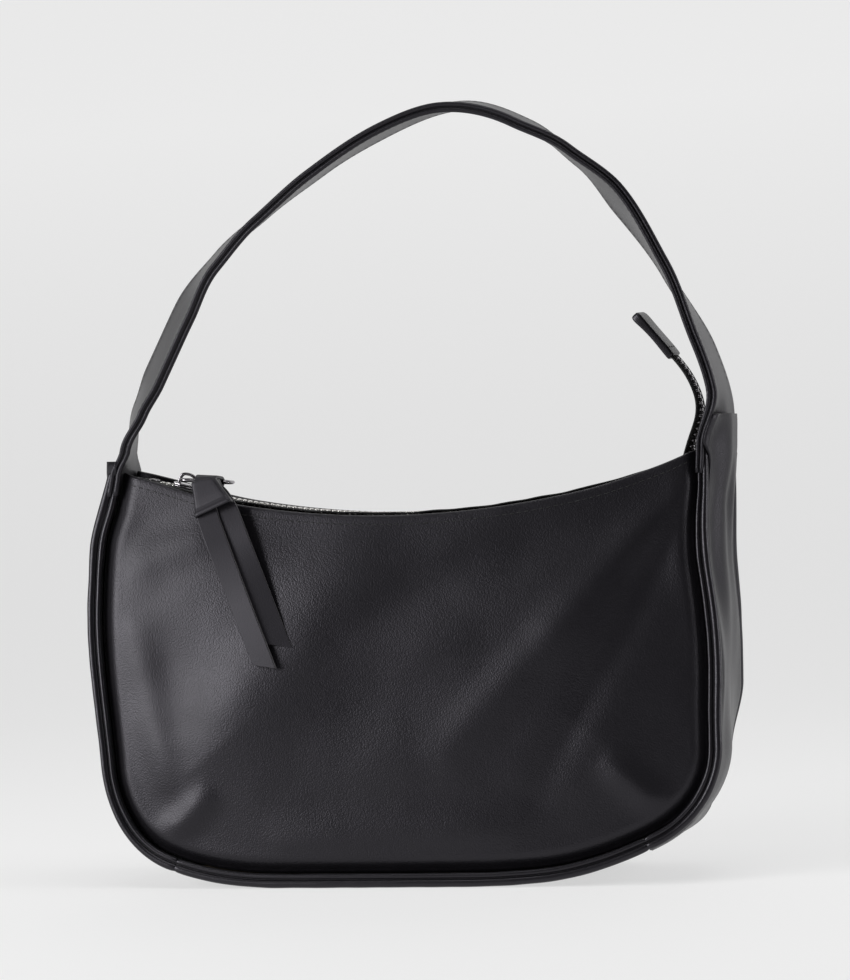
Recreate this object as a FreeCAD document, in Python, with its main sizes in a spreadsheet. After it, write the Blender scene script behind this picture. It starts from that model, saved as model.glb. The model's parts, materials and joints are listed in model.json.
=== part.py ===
import FreeCAD, Part
import math
import os
import Sketcher
from FreeCAD import Placement, Rotation, Vector

# Hobo bag.  X runs across the bag, -Y is its front, +Z is up, and the origin
# is the centre of the base.  Every length is in millimetres, every angle in degrees.

SIZES = {
    # outline of the body, seen from the front
    "half_flat": 60.0,         # half of the flat stretch of the base
    "rocker_radius": 160.0,    # rise of the base towards its ends
    "rocker_sweep": 22.0,
    "corner_radius": 49.0,     # bottom corners
    "side_lean": 1.4,          # the sides lean in by this much
    "outline_top": 215.0,      # the outline is drawn past the mouth, then cut
    "mouth_radius": 432.0,     # concave top edge
    "mouth_centre": 603.0,     # height of the mouth arc's centre
    # the front and back faces: leaning and slightly domed
    "base_half_depth": 46.5,
    "face_lean": 7.66,
    "dome_radius": 2200.0,
    "dome_middle": 98.5,       # height of the middle of the dome
    "dome_rise": 2.4,
    # layers, measured inwards from the outside
    "rim_size": 6.0,           # the corded edge is this wide and this deep
    "rim_wall": 1.5,
    "rim_cord": 2.8,
    "gusset_leather": 1.8,
    "panel_recess": 2.5,       # the face panels sit this far behind the rim
    "panel_leather": 1.6,
    "board_thick": 1.5,
    "lining_thick": 0.7,
    "facing_thick": 1.0,
    "facing_width": 28.0,
    "layer_gap": 0.1,
    "seam_x": 115.0,           # where the side gussets meet the base gusset
    "seam_gap": 0.2,
    "board_half": 105.0,
    # zip
    "zip_radius": 432.5,
    "tape_thick": 0.8,
    "tape_inner": 3.4,
    "tape_left": -18.4,        # angles along the zip arc, from straight down
    "tape_right": 16.7,
    "tooth_pitch": 2.8,
    "tooth_long": 1.5,
    "tooth_high": 2.2,
    "tooth_near": 0.8,
    "tooth_far": 3.2,
    "teeth_left": -16.9,
    "teeth_right": 16.5,
    # slider, at the left end of the zip
    "slider_angle": -15.5,
    "slider_long": 11.0,
    "slider_wide": 10.4,
    "slider_high": 5.2,
    "bridge_long": 9.0,
    "bridge_wide": 2.0,
    "bridge_high": 5.6,
    "bridge_wall": 1.6,
    # D-ring
    "ring_wire": 0.95,
    "ring_x": 1.7,             # the pivot, from the slider's middle
    "ring_up": 5.0,
    "ring_slope": -5.0,
    "ring_long": 24.0,
    "ring_front": -10.0,
    "ring_shoulder": -3.0,
    "ring_back": 6.0,
    "ring_corner": 2.0,
    # leather pull
    "pull_thick": 1.6,
    "pull_wide": 10.4,
    "pull_lean": 22.0,
    "pull_x": -79.0,           # where the middle of the tails lies on the front panel
    "pull_z": 147.0,
    "pull_off": 6.0,           # stands this far off the front panel
    "pull_spread": 4.4,        # sideways shift of each tail
    "pull_spread_at": 10.0,
    "tail_long": 89.0,
    "tail_short": 83.0,
    "tail_cut": 6.8,
    "loop_at": 15.2,           # along the ring's bar, from the pivot
    "loop_hole": 1.35,
    "loop_wall": 1.6,
    "keeper_drop": 3.0,
    "keeper_long": 10.0,
    "keeper_wall": 1.2,
    # free end of the zip
    "tail_half": 6.0,
    "tail_tape": 0.6,
    "cap_long": 24.0,
    "cap_half": 7.0,
    "cap_thick": 4.0,
    # shoulder strap
    "strap_half": 19.5,
    "strap_pivot": 217.0,
    "strap_leather": 1.75,
    "strap_core": 0.8,
    "edge_wide": 3.0,
    "edge_thick": 5.0,
}

# Middle line of the strap as (x, z), from the left gusset to the right one.
STRAP_ROUTE = [
    (-147, 196), (-143, 211), (-136, 227), (-121, 254), (-107, 281), (-90, 300), (-66, 319),
    (-32, 342), (2, 357), (24, 362), (46, 357), (74, 341), (99, 318), (119, 287), (134, 255),
    (143, 233), (146.5, 215), (146.5, 196),
]

# Middle line of the zip's free end as (x, z), from the mouth's right end up to the cap.
TAIL_ROUTE = [(128.3, 188.6), (132, 199), (135.5, 208), (136, 216), (133.5, 225.5), (127.5, 237)]

doc = FreeCAD.newDocument("hobo_bag")
sheet = doc.addObject("Spreadsheet::Sheet", "sizes")
for row, (alias, number) in enumerate(SIZES.items(), start=1):
    sheet.set("A%d" % row, alias)
    sheet.set("B%d" % row, str(number))
    sheet.setAlias("B%d" % row, alias)
doc.recompute()

finished = []


def size(alias):
    """The number that the sheet holds under this alias."""
    return float(getattr(sheet, alias))


def bind(item, **expressions):
    """Bind properties of an object to the sheet, where {name} is a cell."""
    for path, text in expressions.items():
        for alias in sorted(SIZES, key=len, reverse=True):
            text = text.replace("{" + alias + "}", "sizes." + alias)
        item.setExpression(path, text)
    return item


def node(item, label):
    """Mark an object as a finished sub-part, which is written as label.step."""
    item.Label = label
    finished.append(item)
    return item


def common(name, *shapes):
    made = doc.addObject("Part::MultiCommon", name)
    made.Shapes = list(shapes)
    return made


def fuse(name, *shapes):
    made = doc.addObject("Part::MultiFuse", name)
    made.Shapes = list(shapes)
    return made


def cut(name, base, tool):
    made = doc.addObject("Part::Cut", name)
    made.Base, made.Tool = base, tool
    return made


def feature(name, shape):
    made = doc.addObject("Part::Feature", name)
    made.Shape = shape
    return made


def box(name, corner, length, width, height):
    """A box from its low corner; sizes may be numbers or expressions."""
    made = doc.addObject("Part::Box", name)
    for prop, value in (("Length", length), ("Width", width), ("Height", height)):
        if isinstance(value, str):
            bind(made, **{prop: value})
        else:
            setattr(made, prop, value)
    made.Placement = Placement(Vector(*corner), Rotation())
    return made


# ---------------------------------------------------------------- outline and domes

def total(layers):
    """The expression that adds up these cells."""
    return " + ".join("{%s}" % layer for layer in layers) or "0"


def outline_prism(name, layers):
    """The body's outline, moved in by the sum of these layers and padded along Y."""
    body = doc.addObject("PartDesign::Body", name)
    sketch = body.newObject("Sketcher::SketchObject", name + "_outline")
    plane = [f for f in body.Origin.OriginFeatures if f.Role == "XZ_Plane"][0]
    sketch.AttachmentSupport = [(plane, "")]
    sketch.MapMode = "FlatFace"
    moved = sum(size(layer) for layer in layers)
    inset = total(layers)
    sweep, lean = math.radians(size("rocker_sweep")), math.radians(size("side_lean"))
    rocker, corner = size("rocker_radius") - moved, size("corner_radius") - moved
    flat, top = size("half_flat"), size("outline_top")
    reach = size("rocker_radius") - size("corner_radius")
    centre_x = flat + reach * math.sin(sweep)
    centre_z = size("rocker_radius") - reach * math.cos(sweep)
    side_x, side_z = centre_x + corner * math.cos(lean), centre_z + corner * math.sin(lean)
    top_x = side_x - (top - side_z) * math.tan(lean)

    def arc(x, z, radius, start, end):
        circle = Part.Circle(Vector(x, z, 0), Vector(0, 0, 1), radius)
        return Part.ArcOfCircle(circle, start, end)

    down = -math.pi / 2
    sketch.addGeometry([
        Part.LineSegment(Vector(-flat, moved, 0), Vector(flat, moved, 0)),
        arc(flat, size("rocker_radius"), rocker, down, down + sweep),
        arc(centre_x, centre_z, corner, down + sweep, lean),
        Part.LineSegment(Vector(side_x, side_z, 0), Vector(top_x, top, 0)),
        Part.LineSegment(Vector(top_x, top, 0), Vector(-top_x, top, 0)),
        Part.LineSegment(Vector(-top_x, top, 0), Vector(-side_x, side_z, 0)),
        arc(-centre_x, centre_z, corner, math.pi - lean, -down * 3 - sweep),
        arc(-flat, size("rocker_radius"), rocker, -down * 3 - sweep, -down * 3),
    ], False)
    joints = [(0, 2, 1, 1), (1, 2, 2, 1), (2, 2, 3, 1), (5, 2, 6, 1), (6, 2, 7, 1), (7, 2, 0, 1)]
    sketch.addConstraint([Sketcher.Constraint("Tangent", *joint) for joint in joints])
    sketch.addConstraint([
        Sketcher.Constraint("Coincident", 3, 2, 4, 1),
        Sketcher.Constraint("Coincident", 4, 2, 5, 1),
        Sketcher.Constraint("Symmetric", 0, 1, 0, 2, -2),
        Sketcher.Constraint("Symmetric", 3, 2, 5, 1, -2),
        Sketcher.Constraint("Symmetric", 2, 3, 6, 3, -2),
        Sketcher.Constraint("Equal", 1, 7),
    ])
    driven = [
        (("DistanceX", 0, 1, 0, 2, 2 * flat), "2 * {half_flat}"),
        (("DistanceY", -1, 1, 0, 1, moved), inset),
        (("Radius", 1, rocker), "{rocker_radius} - (" + inset + ")"),
        (("Radius", 2, corner), "{corner_radius} - (" + inset + ")"),
        (("DistanceX", -1, 1, 2, 3, centre_x),
         "{half_flat} + ({rocker_radius} - {corner_radius}) * sin({rocker_sweep} * 1deg)"),
        (("DistanceY", -1, 1, 3, 2, top), "{outline_top}"),
    ]
    for constraint, expression in driven:
        index = sketch.addConstraint(Sketcher.Constraint(*constraint))
        if moved or constraint[0] != "DistanceY" or constraint[3] != 0:
            bind(sketch, **{"Constraints[%d]" % index: expression})
    pad = body.newObject("PartDesign::Pad", name + "_pad")
    pad.Profile = sketch
    pad.Midplane = True
    pad.Length = 130
    bind(pad, Length="3 * {base_half_depth}")
    return body


def dome(name, side, layers):
    """A large ball whose skin is the front (side -1) or back (side +1) face."""
    ball = doc.addObject("Part::Sphere", name)
    bind(ball, Radius="{dome_radius} - (" + total(layers) + ")")
    middle = size("base_half_depth") - size("dome_middle") * math.tan(math.radians(size("face_lean")))
    lean = math.radians(size("face_lean"))
    back_off = size("dome_radius") - size("dome_rise")
    centre_y = side * (middle - back_off * math.cos(lean))
    centre_z = size("dome_middle") - back_off * math.sin(lean)
    turn = Rotation(Vector(0, 0, 1), 90 * side)
    ball.Placement = Placement(Vector(0, centre_y, centre_z), turn)
    return ball


GUSSET = ("gusset_leather",)
BOARD = GUSSET + ("layer_gap", "board_thick")
PANEL = ("panel_recess", "panel_leather")
CORD = ("rim_wall", "layer_gap", "rim_cord")
SHARED_LAYERS = {
    "outer": (),
    "channel_out": ("rim_wall",),
    "channel_in": CORD + ("layer_gap",),
    "cord_out": ("rim_wall", "layer_gap"),
    "cord_in": CORD,
    "rim": ("rim_size",),
    "panel_edge": ("rim_size", "layer_gap"),
}
OUTLINE_LAYERS = {
    "gusset_in": GUSSET,
    "board_out": GUSSET + ("layer_gap",),
    "board_in": BOARD,
    "lining_out": BOARD + ("layer_gap",),
    "lining_in": BOARD + ("layer_gap", "lining_thick"),
}
FACE_LAYERS = {
    "panel_out": ("panel_recess",),
    "panel_in": PANEL,
    "inner_out": PANEL + ("layer_gap",),
    "inner_in": PANEL + ("layer_gap", "lining_thick"),
    "facing_in": PANEL + ("layer_gap", "facing_thick"),
    "tape_edge": PANEL + ("layer_gap", "facing_thick", "layer_gap"),
}

prisms = {}
for name, layers in {**SHARED_LAYERS, **OUTLINE_LAYERS}.items():
    prisms[name] = outline_prism("prism_" + name, layers)

domes = {}
for side, side_name in ((-1, "front"), (1, "back")):
    for name, layers in {**SHARED_LAYERS, **FACE_LAYERS}.items():
        domes[side_name, name] = dome("dome_%s_%s" % (side_name, name), side, layers)

MOUTH_CENTRE = Vector(0, 0, size("mouth_centre"))


def mouth_drum(name, radius):
    """A drum along Y about the mouth arc's centre."""
    drum = doc.addObject("Part::Cylinder", name)
    bind(drum, Radius=radius, Height="4 * {base_half_depth}")
    half = 2 * size("base_half_depth")
    drum.Placement = Placement(MOUTH_CENTRE + Vector(0, half, 0), Rotation(Vector(1, 0, 0), 90))
    return drum


mouth = mouth_drum("mouth_drum", "{mouth_radius}")
facing_edge = mouth_drum("facing_drum", "{mouth_radius} + {facing_width}")
lining_edge = mouth_drum("lining_drum", "{mouth_radius} + {facing_width} + {layer_gap}")


# ---------------------------------------------------------------- body of the bag

SPAN = 400.0
seam, half_gap = size("seam_x"), size("seam_gap") / 2
zones = {
    "base": box("zone_base", (-seam + half_gap, -SPAN / 2, -1), 2 * (seam - half_gap), SPAN, SPAN),
    "left": box("zone_left", (-SPAN - seam - half_gap, -SPAN / 2, -1), SPAN, SPAN, SPAN),
    "right": box("zone_right", (seam + half_gap, -SPAN / 2, -1), SPAN, SPAN, SPAN),
}


def rim_pieces(side_name):
    """The corded edge round one face: three lengths that butt at the gusset seams."""
    outside = common("rim_block_" + side_name, prisms["outer"], domes[side_name, "outer"])
    inside = cut("rim_ring_" + side_name, outside, prisms["rim"])
    ring = cut("rim_band_" + side_name, inside, domes[side_name, "rim"])
    bore_block = common("bore_block_" + side_name, prisms["channel_out"],
                        domes[side_name, "channel_out"])
    bore_ring = cut("bore_ring_" + side_name, bore_block, prisms["channel_in"])
    bore = cut("bore_" + side_name, bore_ring, domes[side_name, "channel_in"])
    hollow = cut("rim_hollow_" + side_name, ring, bore)
    trimmed = cut("rim_trimmed_" + side_name, hollow, mouth)
    for zone_name, zone in zones.items():
        piece = common("rim_%s_%s" % (side_name, zone_name), trimmed, zone)
        node(piece, "%s_rim_%s" % (side_name, zone_name))
    cord_block = common("cord_block_" + side_name, prisms["cord_out"],
                        domes[side_name, "cord_out"])
    cord_ring = cut("cord_ring_" + side_name, cord_block, prisms["cord_in"])
    cord_long = cut("cord_long_" + side_name, cord_ring, domes[side_name, "cord_in"])
    node(cut("cord_" + side_name, cord_long, mouth), side_name + "_piping_cord")


def sheet_layer(name, side_name, edge, outer, inner, top):
    """A face layer between two domes, inside the outline, below the mouth."""
    block = common(name + "_block", prisms[edge], domes[side_name, outer])
    layer = cut(name + "_layer", block, domes[side_name, inner])
    return cut(name + "_trimmed", layer, top)


def face_pieces(side_name):
    """Face panel, lining and the facing that backs the mouth's edge."""
    panel = sheet_layer("panel_" + side_name, side_name, "panel_edge", "panel_out", "panel_in",
                        mouth)
    node(panel, side_name + "_panel")
    lining = sheet_layer("lining_" + side_name, side_name, "panel_edge", "inner_out", "inner_in",
                         lining_edge)
    node(lining, side_name + "_lining")
    facing = sheet_layer("facing_" + side_name, side_name, "panel_edge", "inner_out", "facing_in",
                         mouth)
    node(common("facing_piece_" + side_name, facing, facing_edge), side_name + "_facing")


def between_rims(name, outer, inner):
    """A layer of the gusset, which runs round the outline between the two rims."""
    ring = cut(name + "_ring", prisms[outer], prisms[inner])
    layer = common(name + "_layer", ring, domes["front", "panel_edge"],
                   domes["back", "panel_edge"])
    return cut(name + "_trimmed", layer, mouth)


for side_name in ("front", "back"):
    rim_pieces(side_name)
    face_pieces(side_name)

gusset = between_rims("gusset", "outer", "gusset_in")
for zone_name, zone in zones.items():
    node(common("gusset_" + zone_name, gusset, zone), zone_name + "_gusset")
board_zone = box("zone_board", (-size("board_half"), -SPAN / 2, -1), "2 * {board_half}", SPAN, 40)
node(common("board", between_rims("board", "board_out", "board_in"), board_zone), "base_board")
node(between_rims("gusset_lining", "lining_out", "lining_in"), "gusset_lining")


# ---------------------------------------------------------------- zip

def on_arc(angle):
    """Placement of the zip's local frame: x along the zip, z away from the bag's inside."""
    turn = Rotation(Vector(0, -1, 0), angle)
    reach = turn.multVec(Vector(0, 0, -size("zip_radius")))
    return Placement(MOUTH_CENTRE + reach, turn)


def tape(side_name, side):
    """One half of the zip's tape, trimmed to the facing."""
    start, end = size("tape_left"), size("tape_right")
    outer = doc.addObject("Part::Cylinder", "tape_outer_" + side_name)
    bind(outer, Radius="{zip_radius} + {tape_thick} / 2", Height="2 * {base_half_depth}",
         Angle="{tape_right} - {tape_left}")
    start_dir = Vector(math.sin(math.radians(start)), 0, -math.cos(math.radians(start)))
    low_y = size("tape_inner") if side > 0 else -size("tape_inner") - 2 * size("base_half_depth")
    turn = Rotation(start_dir, Vector(), Vector(0, -1, 0), "ZXY")
    base = MOUTH_CENTRE + Vector(0, low_y + 2 * size("base_half_depth"), 0)
    outer.Placement = Placement(base, turn)
    inner = mouth_drum("tape_inner_" + side_name, "{zip_radius} - {tape_thick} / 2")
    band = cut("tape_band_" + side_name, outer, inner)
    trimmed = common("tape_" + side_name, band, domes[side_name, "tape_edge"])
    return node(common("tape_piece_" + side_name, trimmed, prisms["lining_in"]),
                side_name + "_zip_tape")


def teeth(side_name, side):
    """One row of metal teeth, half a pitch apart from the other row."""
    step = math.degrees(size("tooth_pitch") / size("zip_radius"))
    count = int((size("teeth_right") - size("teeth_left")) / step)
    wide = size("tooth_far") - size("tooth_near")
    low_y = size("tooth_near") if side > 0 else -size("tooth_far")
    corner = Vector(-size("tooth_long") / 2, low_y, -size("tooth_high") / 2)
    row = []
    for index in range(count):
        tooth = Part.makeBox(size("tooth_long"), wide, size("tooth_high"), corner)
        place = on_arc(size("teeth_left") + (index + (side > 0) * 0.5) * step)
        row.append(tooth.transformed(place.toMatrix()))
    return node(feature("teeth_" + side_name, Part.makeCompound(row)), side_name + "_zip_teeth")


def stops():
    """Two small clamps past the last teeth at the left end."""
    pair = []
    for low_y in (-size("tooth_far"), size("tooth_near")):
        wide = size("tooth_far") - size("tooth_near")
        clamp = Part.makeBox(3.0, wide, size("tooth_high"),
                             Vector(-1.5, low_y, -size("tooth_high") / 2))
        pair.append(clamp.transformed(on_arc(size("teeth_left") - 0.5).toMatrix()))
    return node(feature("stops", Part.makeCompound(pair)), "zip_top_stops")


for side_name, side in (("front", -1), ("back", 1)):
    tape(side_name, side)
    teeth(side_name, side)
stops()


# ---------------------------------------------------------------- slider

def slider():
    """Two plates joined by a thin post at the leading end; the chain runs between them."""
    long, wide, high = size("slider_long"), size("slider_wide"), size("slider_high")
    block = box("slider_block", (-long / 2, -wide / 2, -high / 2),
                "{slider_long}", "{slider_wide}", "{slider_high}")
    channel_half, channel_high = size("tooth_far") + 0.5, size("tooth_high") + 0.8
    channel = box("slider_channel", (-long, -channel_half, -channel_high / 2),
                  2 * long, 2 * channel_half, channel_high)
    slot_high = size("tape_thick") + 0.8
    slots = box("slider_slots", (-long, -wide, -slot_high / 2), 2 * long, 2 * wide, slot_high)
    post = box("slider_post", (-long / 2 + 0.3, -0.45, -high / 2 + 0.2), 1.6, 0.9, high - 0.4)
    open_block = cut("slider_open", cut("slider_half", block, channel), slots)
    piece = fuse("slider_piece", open_block, post)
    piece.Placement = on_arc(size("slider_angle"))
    return node(piece, "slider_body")


def bridge():
    """The loop on the slider that holds the ring."""
    long, wide, high = size("bridge_long"), size("bridge_wide"), size("bridge_high")
    wall, floor_z = size("bridge_wall"), size("slider_high") / 2
    block = box("bridge_block", (-long / 2 + 1, -wide / 2, floor_z),
                "{bridge_long}", "{bridge_wide}", "{bridge_high}")
    hole = box("bridge_hole", (-long / 2 + 1 + wall, -wide, floor_z - 1),
               "{bridge_long} - 2 * {bridge_wall}", "2 * {bridge_wide}",
               "1 + {bridge_high} - {bridge_wall}")
    piece = cut("bridge_piece", block, hole)
    piece.Placement = on_arc(size("slider_angle"))
    return node(piece, "slider_bridge")


slider()
bridge()

# The ring's own frame: x along its bar, y across the bag, origin at its pivot in the bridge.
slider_place = on_arc(size("slider_angle"))
ring_pivot = slider_place.multVec(Vector(size("ring_x"), 0, size("ring_up")))
ring_place = Placement(ring_pivot, Rotation(Vector(0, 1, 0), -size("ring_slope")))


def ring():
    """D-ring: a wire swept round a straight bar, two short sides and a curved back."""
    long, front, back = size("ring_long"), size("ring_front"), size("ring_back")
    shoulder, corner = size("ring_shoulder"), size("ring_corner")
    rise, half = back - shoulder, long / 2
    radius = (half * half + rise * rise) / (2 * rise)
    start = half - math.sqrt(radius ** 2 - (back - radius) ** 2)
    across = corner * (1 - math.sqrt(0.5))

    def at(x, y):
        return Vector(x - start, y, 0)

    path = Part.Wire([
        Part.makeLine(at(corner, front), at(long - corner, front)),
        Part.Arc(at(long - corner, front), at(long - across, front + across),
                 at(long, front + corner)).toShape(),
        Part.makeLine(at(long, front + corner), at(long, shoulder)),
        Part.Arc(at(long, shoulder), at(half, back), at(0, shoulder)).toShape(),
        Part.makeLine(at(0, shoulder), at(0, front + corner)),
        Part.Arc(at(0, front + corner), at(across, front + across), at(corner, front)).toShape(),
    ])
    profile = Part.Wire(Part.makeCircle(size("ring_wire"), at(half, front), Vector(1, 0, 0)))
    piece = feature("ring_piece", path.makePipeShell([profile], True, False, 2))
    piece.Placement = ring_place
    return node(piece, "pull_ring")


ring()


# ---------------------------------------------------------------- leather pull

def panel_touch(x, z):
    """A point of the front panel's face, with the face's outward normal there."""
    ball = domes["front", "panel_out"]
    doc.recompute()
    centre, radius = ball.Placement.Base, float(ball.Radius)
    depth = math.sqrt(radius ** 2 - x ** 2 - (z - centre.z) ** 2)
    point = Vector(x, centre.y - depth, z)
    return point, (point - centre).normalize()


def pull_frame():
    """Frame of the hanging strip: x across it, y up along it, z away from the panel."""
    lean = math.radians(size("pull_lean"))
    touch, normal = panel_touch(size("pull_x"), size("pull_z"))
    along = Vector(-math.sin(lean), 0, math.cos(lean))
    along = (along - normal * along.dot(normal)).normalize()
    top = touch + normal * size("pull_off") + along * size("tail_long") / 2
    return Placement(top, Rotation(along.cross(normal), along, normal, "ZYX"))


pull_place = pull_frame()
loop_centre = ring_place.multVec(Vector(size("loop_at"), size("ring_front"), 0))


def slab(name, corners, low, thick):
    """A polygon in the pull's frame, padded away from the panel."""
    body = doc.addObject("PartDesign::Body", name)
    sketch = body.newObject("Sketcher::SketchObject", name + "_shape")
    plane = [f for f in body.Origin.OriginFeatures if f.Role == "XY_Plane"][0]
    sketch.AttachmentSupport = [(plane, "")]
    sketch.MapMode = "FlatFace"
    sketch.AttachmentOffset = Placement(Vector(0, 0, low), Rotation())
    ends = corners[1:] + corners[:1]
    for (ax, ay), (bx, by) in zip(corners, ends):
        sketch.addGeometry(Part.LineSegment(Vector(ax, ay, 0), Vector(bx, by, 0)), False)
    for index in range(len(corners)):
        follower = (index + 1) % len(corners)
        sketch.addConstraint(Sketcher.Constraint("Coincident", index, 2, follower, 1))
    pad = body.newObject("PartDesign::Pad", name + "_pad")
    pad.Profile = sketch
    bind(pad, Length=thick)
    body.Placement = pull_place
    return body


def pull_strip():
    """One strip folded over the ring's bar: a loop, then two tails side by side."""
    half, spread, at = size("pull_wide") / 2, size("pull_spread"), -size("pull_spread_at")
    cut_drop, thick = size("tail_cut"), size("pull_thick")
    tails = []
    for name, shift, long, low in (("left", -spread, size("tail_long"), thick + 0.1),
                                   ("right", spread, size("tail_short"), 0.0)):
        corners = [(half, 2.0), (-half, 2.0), (shift - half, at),
                   (shift - half, cut_drop - long), (shift + half, -long), (shift + half, at)]
        tails.append(slab("pull_tail_" + name, corners, low, "{pull_thick}"))
    # the neck joins the tails to the loop on the bar
    neck_end = pull_place.multVec(Vector(0, 0.2, thick))
    run = neck_end - loop_centre
    reach = run.Length + thick
    across = ring_place.Rotation.multVec(Vector(1, 0, 0))
    down = across.cross(run).normalize()
    turn = Rotation(across, Vector(), down, "XZY")
    neck = box("pull_neck", (0, 0, 0), "{pull_wide}", reach, "2 * {pull_thick}")
    neck.Placement = Placement(loop_centre - across * half - down * thick, turn)
    loop = doc.addObject("Part::Cylinder", "pull_loop")
    bind(loop, Radius="{loop_hole} + {loop_wall}", Height="{pull_wide}")
    hole = doc.addObject("Part::Cylinder", "pull_hole")
    bind(hole, Radius="{loop_hole}", Height="2 * {pull_wide}")
    to_bar = Rotation(Vector(0, 0, 1), across)
    loop.Placement = Placement(loop_centre - across * half, to_bar)
    hole.Placement = Placement(loop_centre - across * 2 * half, to_bar)
    seam_block = slab("pull_seam", [(half, 2.0), (-half, 2.0), (-half, -3.0), (half, -3.0)],
                      0.0, "2 * {pull_thick} + {layer_gap}")
    whole = fuse("pull_whole", tails[0], tails[1], seam_block, neck, loop)
    return node(cut("pull_piece", whole, hole), "pull_strip")


def pull_keeper():
    """The band wrapped round the strip just below the loop."""
    half, spread, wall = size("pull_wide") / 2, size("pull_spread"), size("keeper_wall")
    top, low = -size("keeper_drop"), -size("keeper_drop") - size("keeper_long")
    rate = spread / (size("pull_spread_at") + 2)

    def reach(depth, extra):
        return half + rate * (2 - depth) + extra

    def ring_of(extra, above, below):
        wide_top, wide_low = reach(above, extra), reach(below, extra)
        return [(wide_top, above), (-wide_top, above), (-wide_low, below), (wide_low, below)]

    gap = size("layer_gap") + 0.1
    outer = slab("keeper_outer", ring_of(gap + 0.4 + wall, top, low), -gap - wall,
                 "2 * {pull_thick} + 5 * {layer_gap} + 2 * {keeper_wall}")
    inner = slab("keeper_inner", ring_of(gap + 0.4, top + 1, low - 1), -gap,
                 "2 * {pull_thick} + 5 * {layer_gap}")
    return node(cut("keeper_piece", outer, inner), "pull_keeper")


pull_strip()
pull_keeper()


# ---------------------------------------------------------------- bent bands

def route_curve(route):
    curve = Part.BSplineCurve()
    curve.interpolate([Vector(x, 0, z) for x, z in route])
    return curve


def offset_points(curve, shift, count):
    """Points beside a curve; a positive shift lies to the left of its direction."""
    points = []
    for index in range(count + 1):
        at = curve.FirstParameter + (curve.LastParameter - curve.FirstParameter) * index / count
        along = curve.tangent(at)[0]
        points.append(curve.value(at) + Vector(-along.z, 0, along.x) * shift)
    return points


def band(curve, low, high, near_y, far_y, count):
    """The strip between two offsets of a curve in the XZ plane, from near_y to far_y."""
    sides = []
    for shift in (low, high):
        line = Part.BSplineCurve()
        line.interpolate(offset_points(curve, shift, count))
        sides.append(line.toShape())
    ends = [Part.makeLine(sides[0].Vertexes[n].Point, sides[1].Vertexes[n].Point) for n in (0, -1)]
    wire = Part.Wire(Part.__sortEdges__([sides[0], ends[1], sides[1], ends[0]]))
    face = Part.Face(wire)
    face.translate(Vector(0, near_y, 0))
    return face.extrude(Vector(0, far_y - near_y, 0))


# ---------------------------------------------------------------- free end of the zip

def tail_pieces():
    """Tape and chain past the mouth's right end, closed by a folded leather cap."""
    curve = route_curve(TAIL_ROUTE)
    half, thin = size("tail_half"), size("tail_tape") / 2
    end = curve.value(curve.LastParameter)
    along = curve.tangent(curve.LastParameter)[0]
    node(feature("tail_tape", band(curve, -thin, thin, -half, half, 12)), "zip_tail_tape")

    length = curve.length()
    count = int(length / size("tooth_pitch"))
    blocks = []
    for index in range(count):
        at = curve.parameterAtDistance((index + 0.6) * length / count, curve.FirstParameter)
        frame = Placement(curve.value(at), Rotation(curve.tangent(at)[0], Vector(0, 1, 0),
                                                    Vector(), "XYZ"))
        high = size("tooth_high") / 2 - thin
        for low in (thin + 0.05, -thin - 0.05 - high):
            block = Part.makeBox(size("tooth_long"), 2 * size("tooth_far"), high,
                                 Vector(-size("tooth_long") / 2, -size("tooth_far"), low))
            blocks.append(block.transformed(frame.toMatrix()))
    node(feature("tail_teeth", Part.makeCompound(blocks)), "zip_tail_teeth")

    thick, wide = size("cap_thick"), size("cap_half")
    frame = Placement(end + along * 0.3, Rotation(along, Vector(0, 1, 0), Vector(), "XYZ"))
    cap = box("cap_block", (0, -wide, -thick / 2), "{cap_long}", "2 * {cap_half}", "{cap_thick}")
    cap.Placement = frame
    return node(cap, "zip_tail_cap")


tail_pieces()


# ---------------------------------------------------------------- shoulder strap

def strap_pieces():
    """Two leathers over a thin core, with a rolled edge along each side.

    Both ends are rounded about the axis that the strap tips on.
    """
    curve = route_curve(STRAP_ROUTE)
    half, core = size("strap_half"), size("strap_core") / 2
    leather, gap = size("strap_leather"), size("layer_gap") / 2
    inner_edge, thick = half - size("edge_wide"), size("edge_thick") / 2
    pivot = size("strap_pivot")
    round_end = Part.makeCylinder(half, SPAN, Vector(-SPAN / 2, 0, pivot), Vector(1, 0, 0))
    above = Part.makeBox(SPAN, 2 * half, SPAN, Vector(-SPAN / 2, -half, pivot))
    layers = {
        "strap_outer": (core + gap, core + gap + leather, -inner_edge, inner_edge),
        "strap_core": (-core, core, -inner_edge, inner_edge),
        "strap_inner": (-core - gap - leather, -core - gap, -inner_edge, inner_edge),
        "strap_front_edge": (-thick, thick, -half, -inner_edge - gap),
        "strap_back_edge": (-thick, thick, inner_edge + gap, half),
    }
    for name, (low, high, near_y, far_y) in layers.items():
        whole = band(curve, low, high, near_y, far_y, 60)
        ends = whole.common(round_end.fuse(above).removeSplitter())
        node(feature(name + "_piece", ends), name)


strap_pieces()


# ---------------------------------------------------------------- checks and export

doc.recompute()
for item in doc.Objects:
    if "Invalid" in item.State or "Error" in item.State:
        raise RuntimeError("%s did not build: %s" % (item.Label, item.State))
for item in finished:
    if item.Shape.isNull() or not item.Shape.isValid() or item.Shape.Volume <= 0:
        raise RuntimeError(item.Label + " has no valid shape")
os.makedirs("parts", exist_ok=True)
for item in finished:
    item.Shape.exportStep("parts/%s.step" % item.Label)
    print("%-18s %10.1f mm3  %d solids" % (item.Label, item.Shape.Volume, len(item.Shape.Solids)))
print("%d sub-parts" % len(finished))
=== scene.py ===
import json
import math

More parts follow.
